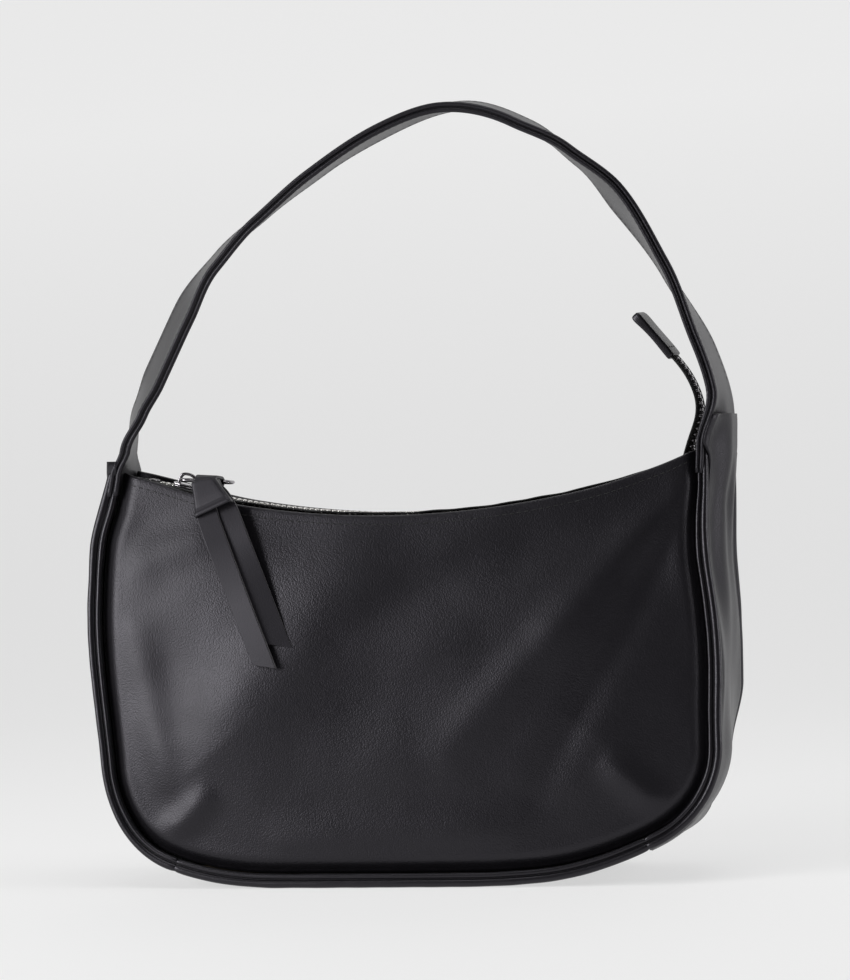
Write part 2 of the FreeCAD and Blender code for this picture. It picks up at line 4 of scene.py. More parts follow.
import bmesh
import bpy
from bpy.props import FloatProperty, FloatVectorProperty, PointerProperty
from mathutils import Matrix, Quaternion, Vector, kdtree, noise

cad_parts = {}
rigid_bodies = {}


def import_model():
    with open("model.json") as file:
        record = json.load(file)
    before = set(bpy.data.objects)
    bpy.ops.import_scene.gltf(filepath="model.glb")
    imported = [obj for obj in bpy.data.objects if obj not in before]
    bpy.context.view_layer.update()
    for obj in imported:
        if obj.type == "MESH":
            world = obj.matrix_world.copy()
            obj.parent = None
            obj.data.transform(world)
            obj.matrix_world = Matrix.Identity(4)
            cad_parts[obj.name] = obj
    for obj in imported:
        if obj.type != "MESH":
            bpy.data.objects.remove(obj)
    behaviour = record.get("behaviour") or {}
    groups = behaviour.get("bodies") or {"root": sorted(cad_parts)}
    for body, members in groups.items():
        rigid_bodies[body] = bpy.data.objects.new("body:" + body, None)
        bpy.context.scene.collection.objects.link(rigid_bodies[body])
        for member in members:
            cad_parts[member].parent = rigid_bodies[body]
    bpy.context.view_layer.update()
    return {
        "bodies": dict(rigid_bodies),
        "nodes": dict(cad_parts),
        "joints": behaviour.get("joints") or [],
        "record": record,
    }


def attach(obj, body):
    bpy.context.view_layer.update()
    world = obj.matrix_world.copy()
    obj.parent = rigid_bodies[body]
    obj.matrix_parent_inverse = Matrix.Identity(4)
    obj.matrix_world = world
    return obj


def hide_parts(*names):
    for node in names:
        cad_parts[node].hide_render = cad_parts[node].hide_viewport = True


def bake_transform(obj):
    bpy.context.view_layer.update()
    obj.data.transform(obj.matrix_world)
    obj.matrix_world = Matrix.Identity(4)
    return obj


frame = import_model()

bl_info = {
    "name": "Hobo Bag",
    "version": (1, 0, 0),
    "blender": (4, 5, 0),
    "location": "View3D > Sidebar > Bag",
    "description": "Leather, zip, strap and stitching of a hobo bag on its working frame",
    "category": "Object",
}

MM = 0.001


# ---------------------------------------------------------------- settings

def linear(code):
    """An sRGB hex colour as the linear numbers that shaders use."""
    parts = [int(code[i:i + 2], 16) / 255 for i in (1, 3, 5)]
    return tuple(p / 12.92 if p <= 0.04045 else ((p + 0.055) / 1.055) ** 2.4 for p in parts)


def length_mm(label, default, text):
    """A length, given in millimetres and held in metres."""
    return FloatProperty(name=label, description=text, default=default * MM, min=0.0,
                         subtype="DISTANCE", unit="LENGTH", precision=4)


def angle_deg(label, default, text):
    """An angle, given in degrees and held in radians."""
    return FloatProperty(name=label, description=text, default=math.radians(default),
                         subtype="ANGLE", unit="ROTATION")


def colour_of(label, code, text):
    """A colour, given as sRGB hex."""
    return FloatVectorProperty(name=label, description=text, default=linear(code),
                               subtype="COLOR", size=3, min=0.0, max=1.0)


class BagSizes(bpy.types.PropertyGroup):
    """Lengths and angles of the bag."""
    half_flat: length_mm("Half flat", 60.0, "Half of the flat stretch of the base")
    rocker_radius: length_mm("Rocker radius", 160.0, "Rise of the base towards its ends")
    rocker_sweep: angle_deg("Rocker sweep", 22.0, "Angle of the rocker arc")
    corner_radius: length_mm("Corner radius", 49.0, "Bottom corners of the outline")
    side_lean: angle_deg("Side lean", 1.4, "Angle by which the sides lean in")
    mouth_radius: length_mm("Mouth radius", 432.0, "Concave top edge")
    mouth_centre: length_mm("Mouth centre", 603.0, "Height of the mouth arc's centre")
    base_half_depth: length_mm("Half depth", 46.5, "Half of the depth at the base")
    face_lean: angle_deg("Face lean", 7.66, "Angle by which the faces lean in")
    dome_radius: length_mm("Dome radius", 2200.0, "Radius of the domed faces")
    dome_middle: length_mm("Dome middle", 98.5, "Height of the dome's middle")
    dome_rise: length_mm("Dome rise", 2.4, "Rise of the dome's middle")
    seam_x: length_mm("Gusset seam", 115.0, "Where the side gussets meet the base gusset")
    zip_radius: length_mm("Zip radius", 432.5, "Radius of the zip's arc")
    tooth_pitch: length_mm("Tooth pitch", 2.8, "Distance between teeth of one row")
    slider_angle: angle_deg("Slider angle", -15.5, "Place of the slider on the zip's arc")
    strap_half: length_mm("Strap half width", 19.5, "Half of the strap's width")
    stitch_long: length_mm("Stitch", 2.6, "Length of a stitch")
    stitch_gap: length_mm("Stitch gap", 0.8, "Gap between stitches")


class BagColours(bpy.types.PropertyGroup):
    """Colours of the finishes."""
    leather: colour_of("Leather", "#08070a", "Body of the bag")
    leather_light: colour_of("Worn leather", "#151417", "Leather where it is rubbed")
    cut_edge: colour_of("Cut edge", "#4a4849", "Raw edges of the pull")
    nickel: colour_of("Nickel", "#dedcd8", "Zip teeth")
    gunmetal: colour_of("Gunmetal", "#8f8c90", "Slider and ring")
    tape: colour_of("Zip tape", "#08080a", "Woven tape")
    thread: colour_of("Thread", "#0b0b0c", "Sewing thread")
    lining: colour_of("Lining", "#0c0c0e", "Woven lining")
    board: colour_of("Board", "#6b5d4c", "Fibre board")
    cord: colour_of("Cord", "#b8b2a6", "Cotton cord")
    floor: colour_of("Floor", "#8c8c8c", "Floor and backdrop")


class Sizes:
    """Reads BagSizes with its lengths in millimetres and its angles in radians."""

    def __getattr__(self, name):
        stored = bpy.context.scene.bag_sizes
        is_angle = stored.bl_rna.properties[name].subtype == "ANGLE"
        return getattr(stored, name) / (1.0 if is_angle else MM)


SIZES = Sizes()


# ---------------------------------------------------------------- mesh helpers

def mapped_grid(columns, rows, place, long=1.0, wide=1.0):
    """A grid whose vertex at (u, v), each 0 to 1, goes to place(u, v), in millimetres.

    Its UV map measures the surface in metres: long along u, wide along v.
    """
    bm = bmesh.new()
    layer = bm.loops.layers.uv.new("UVMap")
    bmesh.ops.create_grid(bm, x_segments=columns, y_segments=rows, size=1.0, calc_uvs=True)
    for face in bm.faces:
        for loop in face.loops:
            at = loop.vert.co
            loop[layer].uv = ((at.x + 1) / 2 * long * MM, (at.y + 1) / 2 * wide * MM)
    for vert in bm.verts:
        vert.co = place((vert.co.x + 1) / 2, (vert.co.y + 1) / 2)
    return bm


def swept(frames, profile, closed_path=False):
    """A closed profile carried along frames of (origin, across, up), with filled ends.

    profile is a list of (a, b), or a function that gives one for a frame's number.
    """
    shape = profile if callable(profile) else lambda number: profile
    rows = len(shape(0))
    columns = len(frames) if closed_path else len(frames) - 1

    def place(u, v):
        number = round(u * columns) % len(frames)
        origin, across, up = frames[number]
        a, b = shape(number)[round(v * rows) % rows]
        return origin + across * a + up * b

    origins = [origin for origin, _, _ in frames]
    long = sum((b - a).length for a, b in zip(origins, origins[1:]))
    corners = [Vector(corner) for corner in shape(0)]
    wide = sum((b - a).length for a, b in zip(corners, corners[1:] + corners[:1]))
    bm = mapped_grid(columns, rows, place, long, wide)
    bmesh.ops.remove_doubles(bm, verts=bm.verts, dist=1e-4)
    if not closed_path:
        bmesh.ops.holes_fill(bm, edges=[e for e in bm.edges if e.is_boundary], sides=0)
    bmesh.ops.recalc_face_normals(bm, faces=bm.faces)
    return bm


def face_out(bm, outward):
    """Turn an open sheet so that its middle face looks along outward."""
    faces = list(bm.faces)
    if sum(f.normal.dot(outward) for f in faces) < 0:
        bmesh.ops.reverse_faces(bm, faces=faces)
    return bm


def joined(shapes):
    """One bmesh that holds all of these."""
    whole = bmesh.new()
    for bm in shapes:
        mesh = bpy.data.meshes.new("part")
        bm.to_mesh(mesh)
        bm.free()
        whole.from_mesh(mesh)
        bpy.data.meshes.remove(mesh)
    return whole


def repeated(unit, matrices):
    """Copies of one small bmesh at each matrix."""
    mesh = bpy.data.meshes.new("unit")
    unit.to_mesh(mesh)
    unit.free()
    whole = bmesh.new()
    for matrix in matrices:
        start = len(whole.verts)
        whole.from_mesh(mesh)
        whole.verts.ensure_lookup_table()
        bmesh.ops.transform(whole, matrix=matrix, verts=whole.verts[start:])
    bpy.data.meshes.remove(mesh)
    return whole


def settle(at):
    """How the soft bag stands: sides bowed above the middle, base rolled up at the right."""
    # only the outer part of the width moves, and less of it near the mouth
    side = soften(60.0 + 58.0 * soften(140.0, 180.0, at.z), 155.0, abs(at.x))
    if at.x < 0:
        bow = (-1.5 + 11.5 * soften(30.0, 135.0, at.z) - 8.5 * soften(160.0, 205.0, at.z)
               - 1.5 * soften(205.0, 240.0, at.z))
    else:
        bow = (-4.5 + 3.0 * soften(60.0, 130.0, at.z) + 3.5 * soften(140.0, 192.0, at.z)
               - 2.0 * soften(205.0, 240.0, at.z))
        # the back bottom corner is tucked in, and so is the front towards the mouth
        tucked = soften(8.0, 30.0, at.z) * (1 - soften(50.0, 85.0, at.z))
        bow -= 7.0 * soften(-10.0, 35.0, at.y) * tucked
        bow -= 8.5 * soften(-2.0, 14.0, -at.y) * soften(85.0, 190.0, at.z) * (
            1 - soften(197.0, 222.0, at.z))
    low = 1 - soften(15.0, 120.0, at.z)
    rise = 6.0 * soften(30.0, 130.0, at.x) - 2.5 * soften(60.0, 130.0, -at.x)
    return Vector((at.x + (bow if at.x > 0 else -bow) * side, at.y, at.z + rise * low))


def piece(bm, name, finish, body=None, nodes=(), between=None, crisp=0):
    """Make the object of a finished bmesh in millimetres, and tie it to its body on the frame; a
    piece given between stays where it is made, tied to no body.

    Edges that turn by more than crisp degrees stay sharp.
    """
    if body not in ("slider", "ring", "pull"):
        for vert in bm.verts:
            vert.co = settle(vert.co)
    bmesh.ops.scale(bm, vec=(MM, MM, MM), verts=bm.verts)
    mesh = bpy.data.meshes.new(name)
    bm.to_mesh(mesh)
    bm.free()
    mesh.shade_smooth()
    if crisp:
        mesh.set_sharp_from_angle(angle=math.radians(crisp))
    item = bpy.data.objects.new(name, mesh)
    bpy.context.scene.collection.objects.link(item)
    for material in finish if isinstance(finish, (list, tuple)) else (finish,):
        mesh.materials.append(material)
    if between:
        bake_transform(item)
    else:
        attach(item, body)
    if nodes:
        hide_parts(*nodes)
    return item


def subdivide(item, levels=1):
    """Smooth a piece with a subdivision surface."""
    modifier = item.modifiers.new("Subdivision", "SUBSURF")
    modifier.levels = modifier.render_levels = levels
    return item


def thicken(item, thick, offset=-1.0):
    """Give an open sheet its thickness, in millimetres, behind its outward face."""
    modifier = item.modifiers.new("Thickness", "SOLIDIFY")
    modifier.thickness = thick * MM
    modifier.offset = offset
    modifier.use_even_offset = False
    return item


def soften(low, high, value):
    """0 below low, 1 above high, and smooth between."""
    at = min(max((value - low) / (high - low), 0.0), 1.0)
    return at * at * (3 - 2 * at)


def spline(points, count):
    """A smooth curve through the run of these points, as evenly spaced places."""
    control = [points[0]] * 2 + list(points) + [points[-1]] * 2
    dense = []
    for start in range(len(control) - 3):
        a, b, c, d = control[start:start + 4]
        for step in range(12):
            t = step / 12
            dense.append((a * (1 - t) ** 3 + b * (3 * t ** 3 - 6 * t * t + 4)
                          + c * (-3 * t ** 3 + 3 * t * t + 3 * t + 1) + d * t ** 3) / 6)
    dense.append(Vector(points[-1]))
    return resampled(dense, count)


def resampled(dense, count):
    """count + 1 evenly spaced places along a run of points."""
    reach = [0.0]
    for a, b in zip(dense, dense[1:]):
        reach.append(reach[-1] + (b - a).length)
    places, index = [], 0
    for step in range(count + 1):
        target = reach[-1] * step / count
        while index < len(dense) - 2 and reach[index + 1] < target:
            index += 1
        span = reach[index + 1] - reach[index] or 1.0
        places.append(dense[index].lerp(dense[index + 1], (target - reach[index]) / span))
    return places


def directions(points):
    """Unit direction of the run at each of its points."""
    found = []
    for index in range(len(points)):
        before, after = points[max(index - 1, 0)], points[min(index + 1, len(points) - 1)]
        found.append((after - before).normalized())
    return found


def rounded_bar(half_wide, half_thick, radius, steps=3):
    """Closed profile of a flat bar with rounded corners."""
    profile = []
    for corner in range(4):
        across = (half_wide - radius) * (1 if corner in (0, 3) else -1)
        up = (half_thick - radius) * (1 if corner < 2 else -1)
        for step in range(steps + 1):
            turn = math.pi / 2 * (corner + step / steps)
            profile.append((across + radius * math.cos(turn), up + radius * math.sin(turn)))
    return profile


def round_profile(radius, sides=10):
    """Closed round profile."""
    return [(radius * math.cos(2 * math.pi * n / sides), radius * math.sin(2 * math.pi * n / sides))
            for n in range(sides)]


# ---------------------------------------------------------------- shape of the body

def edge_point(reach, inset=0.0):
    """Place and outward direction on the outline, inset, at a distance from its lowest point.

    A negative distance runs up the left side. Distances are those of the outer outline.
    """
    s = SIZES
    side = -1 if reach < 0 else 1
    run = abs(reach)
    sweep, lean = s.rocker_sweep, s.side_lean
    rocker_run = s.rocker_radius * sweep
    corner_turn = math.pi / 2 + lean - sweep
    corner_run = s.corner_radius * corner_turn
    offset = s.rocker_radius - s.corner_radius
    centre_x = s.half_flat + offset * math.sin(sweep)
    centre_z = s.rocker_radius - offset * math.cos(sweep)
    along = 0.0
    if run <= s.half_flat:
        turn, x, z = 0.0, run, inset
    elif run <= s.half_flat + rocker_run:
        turn = (run - s.half_flat) / s.rocker_radius
        x = s.half_flat + (s.rocker_radius - inset) * math.sin(turn)
        z = s.rocker_radius - (s.rocker_radius - inset) * math.cos(turn)
    else:
        beyond = run - s.half_flat - rocker_run
        turn = sweep + min(beyond, corner_run) / s.corner_radius
        along = max(beyond - corner_run, 0.0)
        x = centre_x + (s.corner_radius - inset) * math.sin(turn) + along * math.cos(turn)
        z = centre_z - (s.corner_radius - inset) * math.cos(turn) + along * math.sin(turn)
    return Vector((side * x, 0, z)), Vector((side * math.sin(turn), 0, -math.cos(turn)))


def edge_end(inset=0.0):
    """Distance along the outline at which it meets the mouth's arc."""
    s = SIZES
    centre = Vector((0, 0, s.mouth_centre))
    low, high = 200.0, 420.0
    for _ in range(40):
        middle = (low + high) / 2
        above = (edge_point(middle, inset)[0] - centre).length < s.mouth_radius
        low, high = (low, middle) if above else (middle, high)
    return low


def reach_at_x(x):
    """Distance along the outer outline at which its base reaches this x."""
    low, high = 0.0, 200.0
    for _ in range(40):
        middle = (low + high) / 2
        low, high = (middle, high) if edge_point(middle)[0].x < x else (low, middle)
    return low


def face_depth(x, z, inset=0.0):
    """Distance of the domed face from the middle plane of the bag."""
    s = SIZES
    middle = s.base_half_depth - s.dome_middle * math.tan(s.face_lean)
    back_off = s.dome_radius - s.dome_rise
    centre = -(middle - back_off * math.cos(s.face_lean))
    height = s.dome_middle - back_off * math.sin(s.face_lean)
    radius = s.dome_radius - inset
    return math.sqrt(radius ** 2 - x ** 2 - (z - height) ** 2) - centre


def zip_frame(angle):
    """Origin, direction and upward normal on the zip's arc at this angle from straight down."""
    s = SIZES
    turn = math.radians(angle)
    up = Vector((-math.sin(turn), 0, math.cos(turn)))
    along = Vector((math.cos(turn), 0, math.sin(turn)))
    return Vector((0, 0, s.mouth_centre)) - up * s.zip_radius, along, up


# ---------------------------------------------------------------- finishes

def add(tree, kind, inputs=None, **settings):
    """Add a node, set its attributes, and set or link its inputs by name or number."""
    made = tree.nodes.new(kind)
    for key, value in settings.items():
        setattr(made, key, value)
    for key, value in (inputs or {}).items():
        if isinstance(value, bpy.types.NodeSocket):
            tree.links.new(value, made.inputs[key])
        else:
            made.inputs[key].default_value = value
    return made


def finish_base(name):
    """A material with its surface shader, ready for patterns."""
    material = bpy.data.materials.new(name)
    material.use_nodes = True
    tree = material.node_tree
    return material, tree, tree.nodes["Principled BSDF"]


def opaque(colour):
    """The colour with its alpha, as colour sockets take it."""
    return (*colour, 1.0)


def grained_leather(name, colour, rubbed, grain_mm, rough, bump_mm, coat=0.12):
    """Drum-dyed cow leather with a pressed grain and a satin topcoat.

    The eye gets pebbles with fine creases, a dull sheen that shifts over the hide,
    and rubbed high spots that are a little paler.
    """
    material, tree, shader = finish_base(name)
    place = add(tree, "ShaderNodeTexCoord").outputs["Object"]
    drift = add(tree, "ShaderNodeTexNoise", {"Vector": place, "Scale": 1 / (2.5 * grain_mm * MM),
                                             "Detail": 2.0})
    bent = add(tree, "ShaderNodeVectorMath", {0: drift.outputs["Color"],
                                              "Scale": 0.5 * grain_mm * MM}, operation="SCALE")
    moved = add(tree, "ShaderNodeVectorMath", {0: place, 1: bent.outputs[0]}, operation="ADD")
    pebbles = add(tree, "ShaderNodeTexVoronoi", {"Vector": moved.outputs[0],
                                                 "Scale": 1 / (grain_mm * MM)},
                  feature="SMOOTH_F1")
    pebbles.inputs["Smoothness"].default_value = 0.55
    creases = add(tree, "ShaderNodeTexNoise", {"Vector": place, "Scale": 1 / (0.45 * grain_mm * MM),
                                               "Detail": 3.0})
    height = add(tree, "ShaderNodeMath", {0: creases.outputs[0], 1: 0.35,
                                          2: pebbles.outputs["Distance"]}, operation="MULTIPLY_ADD")
    bump = add(tree, "ShaderNodeBump", {"Height": height.outputs[0], "Strength": 1.0,
                                        "Distance": bump_mm * MM}, invert=True)
    hide = add(tree, "ShaderNodeTexNoise", {"Vector": place, "Scale": 1 / 0.045, "Detail": 3.0})
    tone = add(tree, "ShaderNodeMapRange", {"Value": hide.outputs[0], "From Min": 0.3,
                                            "From Max": 0.75, "To Min": 0.0, "To Max": 0.35})
    worn = add(tree, "ShaderNodeAttribute", attribute_name="wear")
    high = add(tree, "ShaderNodeMapRange", {"Value": pebbles.outputs["Distance"],
                                            "From Min": 0.5, "From Max": 0.1, "To Max": 0.25})
    amount = add(tree, "ShaderNodeMath", {0: tone.outputs[0], 1: high.outputs[0]}, operation="ADD")
    amount = add(tree, "ShaderNodeMath", {0: amount.outputs[0], 1: worn.outputs["Fac"]},
                 operation="ADD", use_clamp=True)
    mixed = add(tree, "ShaderNodeMix", data_type="RGBA")
    mixed.inputs[6].default_value = opaque(colour)
    mixed.inputs[7].default_value = opaque(rubbed)
    tree.links.new(amount.outputs[0], mixed.inputs[0])
    tree.links.new(mixed.outputs[2], shader.inputs["Base Color"])
    polish = add(tree, "ShaderNodeMapRange", {"Value": hide.outputs[0], "From Min": 0.3,
                                              "From Max": 0.7, "To Min": rough + 0.05,
                                              "To Max": rough - 0.05})
    tree.links.new(polish.outputs[0], shader.inputs["Roughness"])
    tree.links.new(bump.outputs[0], shader.inputs["Normal"])
    shader.inputs["IOR"].default_value = 1.5
    shader.inputs["Specular IOR Level"].default_value = 0.34
    shader.inputs["Specular Tint"].default_value = (0.92, 0.88, 1.0, 1.0)
    shader.inputs["Coat Weight"].default_value = coat
    shader.inputs["Coat Roughness"].default_value = 0.3
    shader.inputs["Sheen Weight"].default_value = 0.02
    shader.inputs["Sheen Roughness"].default_value = 0.45
    return material


def plated_metal(name, colour, rough):
    """Zinc casting, tumbled and plated: bright, with faint handling marks."""
    material, tree, shader = finish_base(name)
    place = add(tree, "ShaderNodeTexCoord").outputs["Object"]
    marks = add(tree, "ShaderNodeTexNoise", {"Vector": place, "Scale": 1 / 0.0012, "Detail": 4.0})
    level = add(tree, "ShaderNodeMapRange", {"Value": marks.outputs[0], "From Min": 0.35,
                                             "From Max": 0.7, "To Min": rough - 0.06,
                                             "To Max": rough + 0.12})
    bump = add(tree, "ShaderNodeBump", {"Height": marks.outputs[0], "Strength": 0.25,
                                        "Distance": 0.00003})
    shader.inputs["Base Color"].default_value = opaque(colour)
    shader.inputs["Metallic"].default_value = 1.0
    tree.links.new(level.outputs[0], shader.inputs["Roughness"])
    tree.links.new(bump.outputs[0], shader.inputs["Normal"])
    return material


def woven_cloth(name, colour, thread_mm, rough=0.8, bump_mm=0.12):
    """Plain woven polyester: crossing yarns that catch the light one way, then the other."""
    material, tree, shader = finish_base(name)
    place = add(tree, "ShaderNodeTexCoord").outputs["UV"]
    waves = []
    for axis in ("X", "Y"):
        waves.append(add(tree, "ShaderNodeTexWave", {"Vector": place,
                                                     "Scale": math.pi / (10 * thread_mm * MM),
                                                     "Distortion": 0.6, "Detail": 1.0},
                         bands_direction=axis).outputs[1])
    weave = add(tree, "ShaderNodeMath", {0: waves[0], 1: waves[1]}, operation="MAXIMUM")
    tone = add(tree, "ShaderNodeMapRange", {"Value": weave.outputs[0], "From Min": 0.3})
    mixed = add(tree, "ShaderNodeMix", data_type="RGBA")
    mixed.inputs[6].default_value = opaque([c * 0.5 for c in colour])
    mixed.inputs[7].default_value = opaque([min(c * 1.5, 1.0) for c in colour])
    tree.links.new(tone.outputs[0], mixed.inputs[0])
    tree.links.new(mixed.outputs[2], shader.inputs["Base Color"])
    bump = add(tree, "ShaderNodeBump", {"Height": weave.outputs[0], "Strength": 1.0,
                                        "Distance": bump_mm * MM})
    tree.links.new(bump.outputs[0], shader.inputs["Normal"])
    shader.inputs["Roughness"].default_value = rough
    shader.inputs["Sheen Weight"].default_value = 0.2
    return material


def twisted_thread(name, colour):
    """Bonded polyester thread: smooth plies with a low sheen."""
    material, tree, shader = finish_base(name)
    place = add(tree, "ShaderNodeTexCoord").outputs["Object"]
    plies = add(tree, "ShaderNodeTexNoise", {"Vector": place, "Scale": 1 / 0.0003, "Detail": 2.0})
    tone = add(tree, "ShaderNodeMix", data_type="RGBA")
    tone.inputs[6].default_value = opaque([c * 0.7 for c in colour])
    tone.inputs[7].default_value = opaque([min(c * 1.6, 1.0) for c in colour])
    tree.links.new(plies.outputs[0], tone.inputs[0])
    tree.links.new(tone.outputs[2], shader.inputs["Base Color"])
    shader.inputs["Roughness"].default_value = 0.5
    return material


def pressed_board(name, colour):
    """Bonded fibre board: matt, with short fibres of uneven tone."""
    material, tree, shader = finish_base(name)
    place = add(tree, "ShaderNodeTexCoord").outputs["Object"]
    fibres = add(tree, "ShaderNodeTexNoise", {"Vector": place, "Scale": 1 / 0.0015, "Detail": 6.0})
    tone = add(tree, "ShaderNodeMix", data_type="RGBA")
    tone.inputs[6].default_value = opaque([c * 0.7 for c in colour])
    tone.inputs[7].default_value = opaque(colour)
    tree.links.new(fibres.outputs[0], tone.inputs[0])
    tree.links.new(tone.outputs[2], shader.inputs["Base Color"])
    shader.inputs["Roughness"].default_value = 0.9
    return material


def lit_floor(name, colour):
    """Opal acrylic sweep, lit from behind and matt in front."""
    material, tree, shader = finish_base(name)
    place = add(tree, "ShaderNodeTexCoord").outputs["Object"]
    tooth = add(tree, "ShaderNodeTexNoise", {"Vector": place, "Scale": 400.0, "Detail": 2.0})
    bump = add(tree, "ShaderNodeBump", {"Height": tooth.outputs[0], "Strength": 0.1,
                                        "Distance": 0.0001})
    tree.links.new(bump.outputs[0], shader.inputs["Normal"])
    shader.inputs["Base Color"].default_value = opaque(colour)
    shader.inputs["Roughness"].default_value = 0.85
    shader.inputs["Specular IOR Level"].default_value = 0.2
    shader.inputs["Emission Color"].default_value = (1.0, 1.0, 1.0, 1.0)
    height = add(tree, "ShaderNodeSeparateXYZ", {0: place}).outputs[2]
    glow = add(tree, "ShaderNodeMapRange", {"Value": height, "From Max": 0.7, "To Min": 0.60,
                                            "To Max": 0.74})
    tree.links.new(glow.outputs[0], shader.inputs["Emission Strength"])
    return material


FINISH = {}


class BAG_OT_finishes(bpy.types.Operator):
    """Make the materials"""
    bl_idname = "bag.finishes"
    bl_label = "Finishes"

    def execute(self, context):
        c = context.scene.bag_colours
        dark, light = tuple(c.leather), tuple(c.leather_light)
        FINISH.update({
            "leather": grained_leather("Cow leather, drum dyed and grained",
                                       dark, light, 0.7, 0.42, 0.11, 0.10),
            "rolled": grained_leather("Cow leather, skived and rolled",
                                      dark, light, 0.6, 0.34, 0.05, 0.15),
            "strap": grained_leather("Cow leather, folded for the strap",
                                     dark, light, 0.75, 0.42, 0.08, 0.10),
            "pull": grained_leather("Cow leather, smooth plated", light, light, 0.5, 0.5, 0.04),
            "cut": grained_leather("Cow leather, knife-cut edge",
                                   tuple(c.cut_edge), light, 0.3, 0.7, 0.05),
            "gunmetal": plated_metal("Cast zinc, dark nickel plated", tuple(c.gunmetal), 0.14),
            "nickel": plated_metal("Stamped brass, nickel plated", tuple(c.nickel), 0.3),
            "tape": woven_cloth("Polyester tape, woven", tuple(c.tape), 0.5),
            "thread": twisted_thread("Polyester thread, bonded", tuple(c.thread)),
            "lining": woven_cloth("Polyester lining, plain weave", tuple(c.lining), 0.4, 0.7, 0.06),
            "board": pressed_board("Fibre board, pressed", tuple(c.board)),
            "cord": twisted_thread("Cotton cord, twisted", tuple(c.cord)),
            "floor": lit_floor("Acrylic sheet, opal and heat bent", tuple(c.floor)),
        })
        return {"FINISHED"}


# ---------------------------------------------------------------- stitching

def stitch_row(places, normals, radius=0.24, sunk=0.05):
    """Stitches laid along a run of points; normals give the way up at each point."""
    s = SIZES
    pitch = s.stitch_long + s.stitch_gap
    run = sum((b - a).length for a, b in zip(places, places[1:]))
    count = max(int(run / pitch), 1)
    fine = resampled(list(places), count * 2)
    along = directions(fine)
    matrices = []
    for index in range(count):
        at = index * 2 + 1
        share = at / (count * 2) * (len(normals) - 1)
        low = min(int(share), len(normals) - 2)
        up = normals[low].lerp(normals[low + 1], share - low).normalized()
        side = up.cross(along[at]).normalized()
        up = along[at].cross(side)
        turn = Matrix((along[at], side, up)).transposed().to_4x4()
        matrices.append(Matrix.Translation(fine[at] + up * (radius * 0.3 - sunk)) @ turn)
    unit = bmesh.new()
    bmesh.ops.create_uvsphere(unit, u_segments=6, v_segments=4, radius=1.0)
    bmesh.ops.rotate(unit, verts=unit.verts, matrix=Matrix.Rotation(math.pi / 2, 3, "Y"))
    bmesh.ops.scale(unit, verts=unit.verts, vec=(s.stitch_long / 2, radius, radius))
    return repeated(unit, matrices)


# ---------------------------------------------------------------- face panels

PANEL_EDGE = 6.6       # the panel starts this far inside the outline, under the rim
PANEL_THICK = 1.5


def fold(x, z, start, end, wide, high):
    """Height of one soft ridge that runs from start to end."""
    a, b = Vector(start), Vector(end)
    along = b - a
    share = (Vector((x, z)) - a).dot(along) / along.length_squared
    near = min(max(share, 0.0), 1.0)
    off = (Vector((x, z)) - a - along * near).length
    fade = soften(-0.25, 0.25, share) * (1 - soften(0.75, 1.25, share))
    return high * math.exp(-(off / wide) ** 2) * fade


FRONT_FOLDS = [
    # start, end, half width and height of each soft ridge or dip, in millimetres
    ((128, 172), (20, 62), 11, 1.7),
    ((132, 160), (60, 40), 9, -1.3),
    ((118, 178), (-30, 118), 14, -1.4),
    ((-20, 150), (-110, 60), 22, 1.6),
    ((-125, 120), (-118, 50), 9, 1.4),
    ((-128, 18), (-96, 44), 7, 2.4),
    ((128, 24), (96, 52), 7, 2.2),
    ((-60, 24), (50, 26), 10, 1.2),
    ((-40, 90), (70, 60), 26, -1.6),
    ((-130, 150), (-95, 165), 10, 1.3),
]
BACK_FOLDS = [
    ((-126, 168), (-30, 70), 13, 1.8),
    ((124, 150), (70, 60), 12, 1.4),
    ((120, 176), (10, 130), 14, -1.3),
    ((-128, 20), (-92, 48), 8, 2.2),
    ((126, 22), (98, 50), 8, 2.2),
    ((-50, 60), (60, 90), 30, -1.5),
    ((-70, 26), (60, 24), 10, 1.1),
]


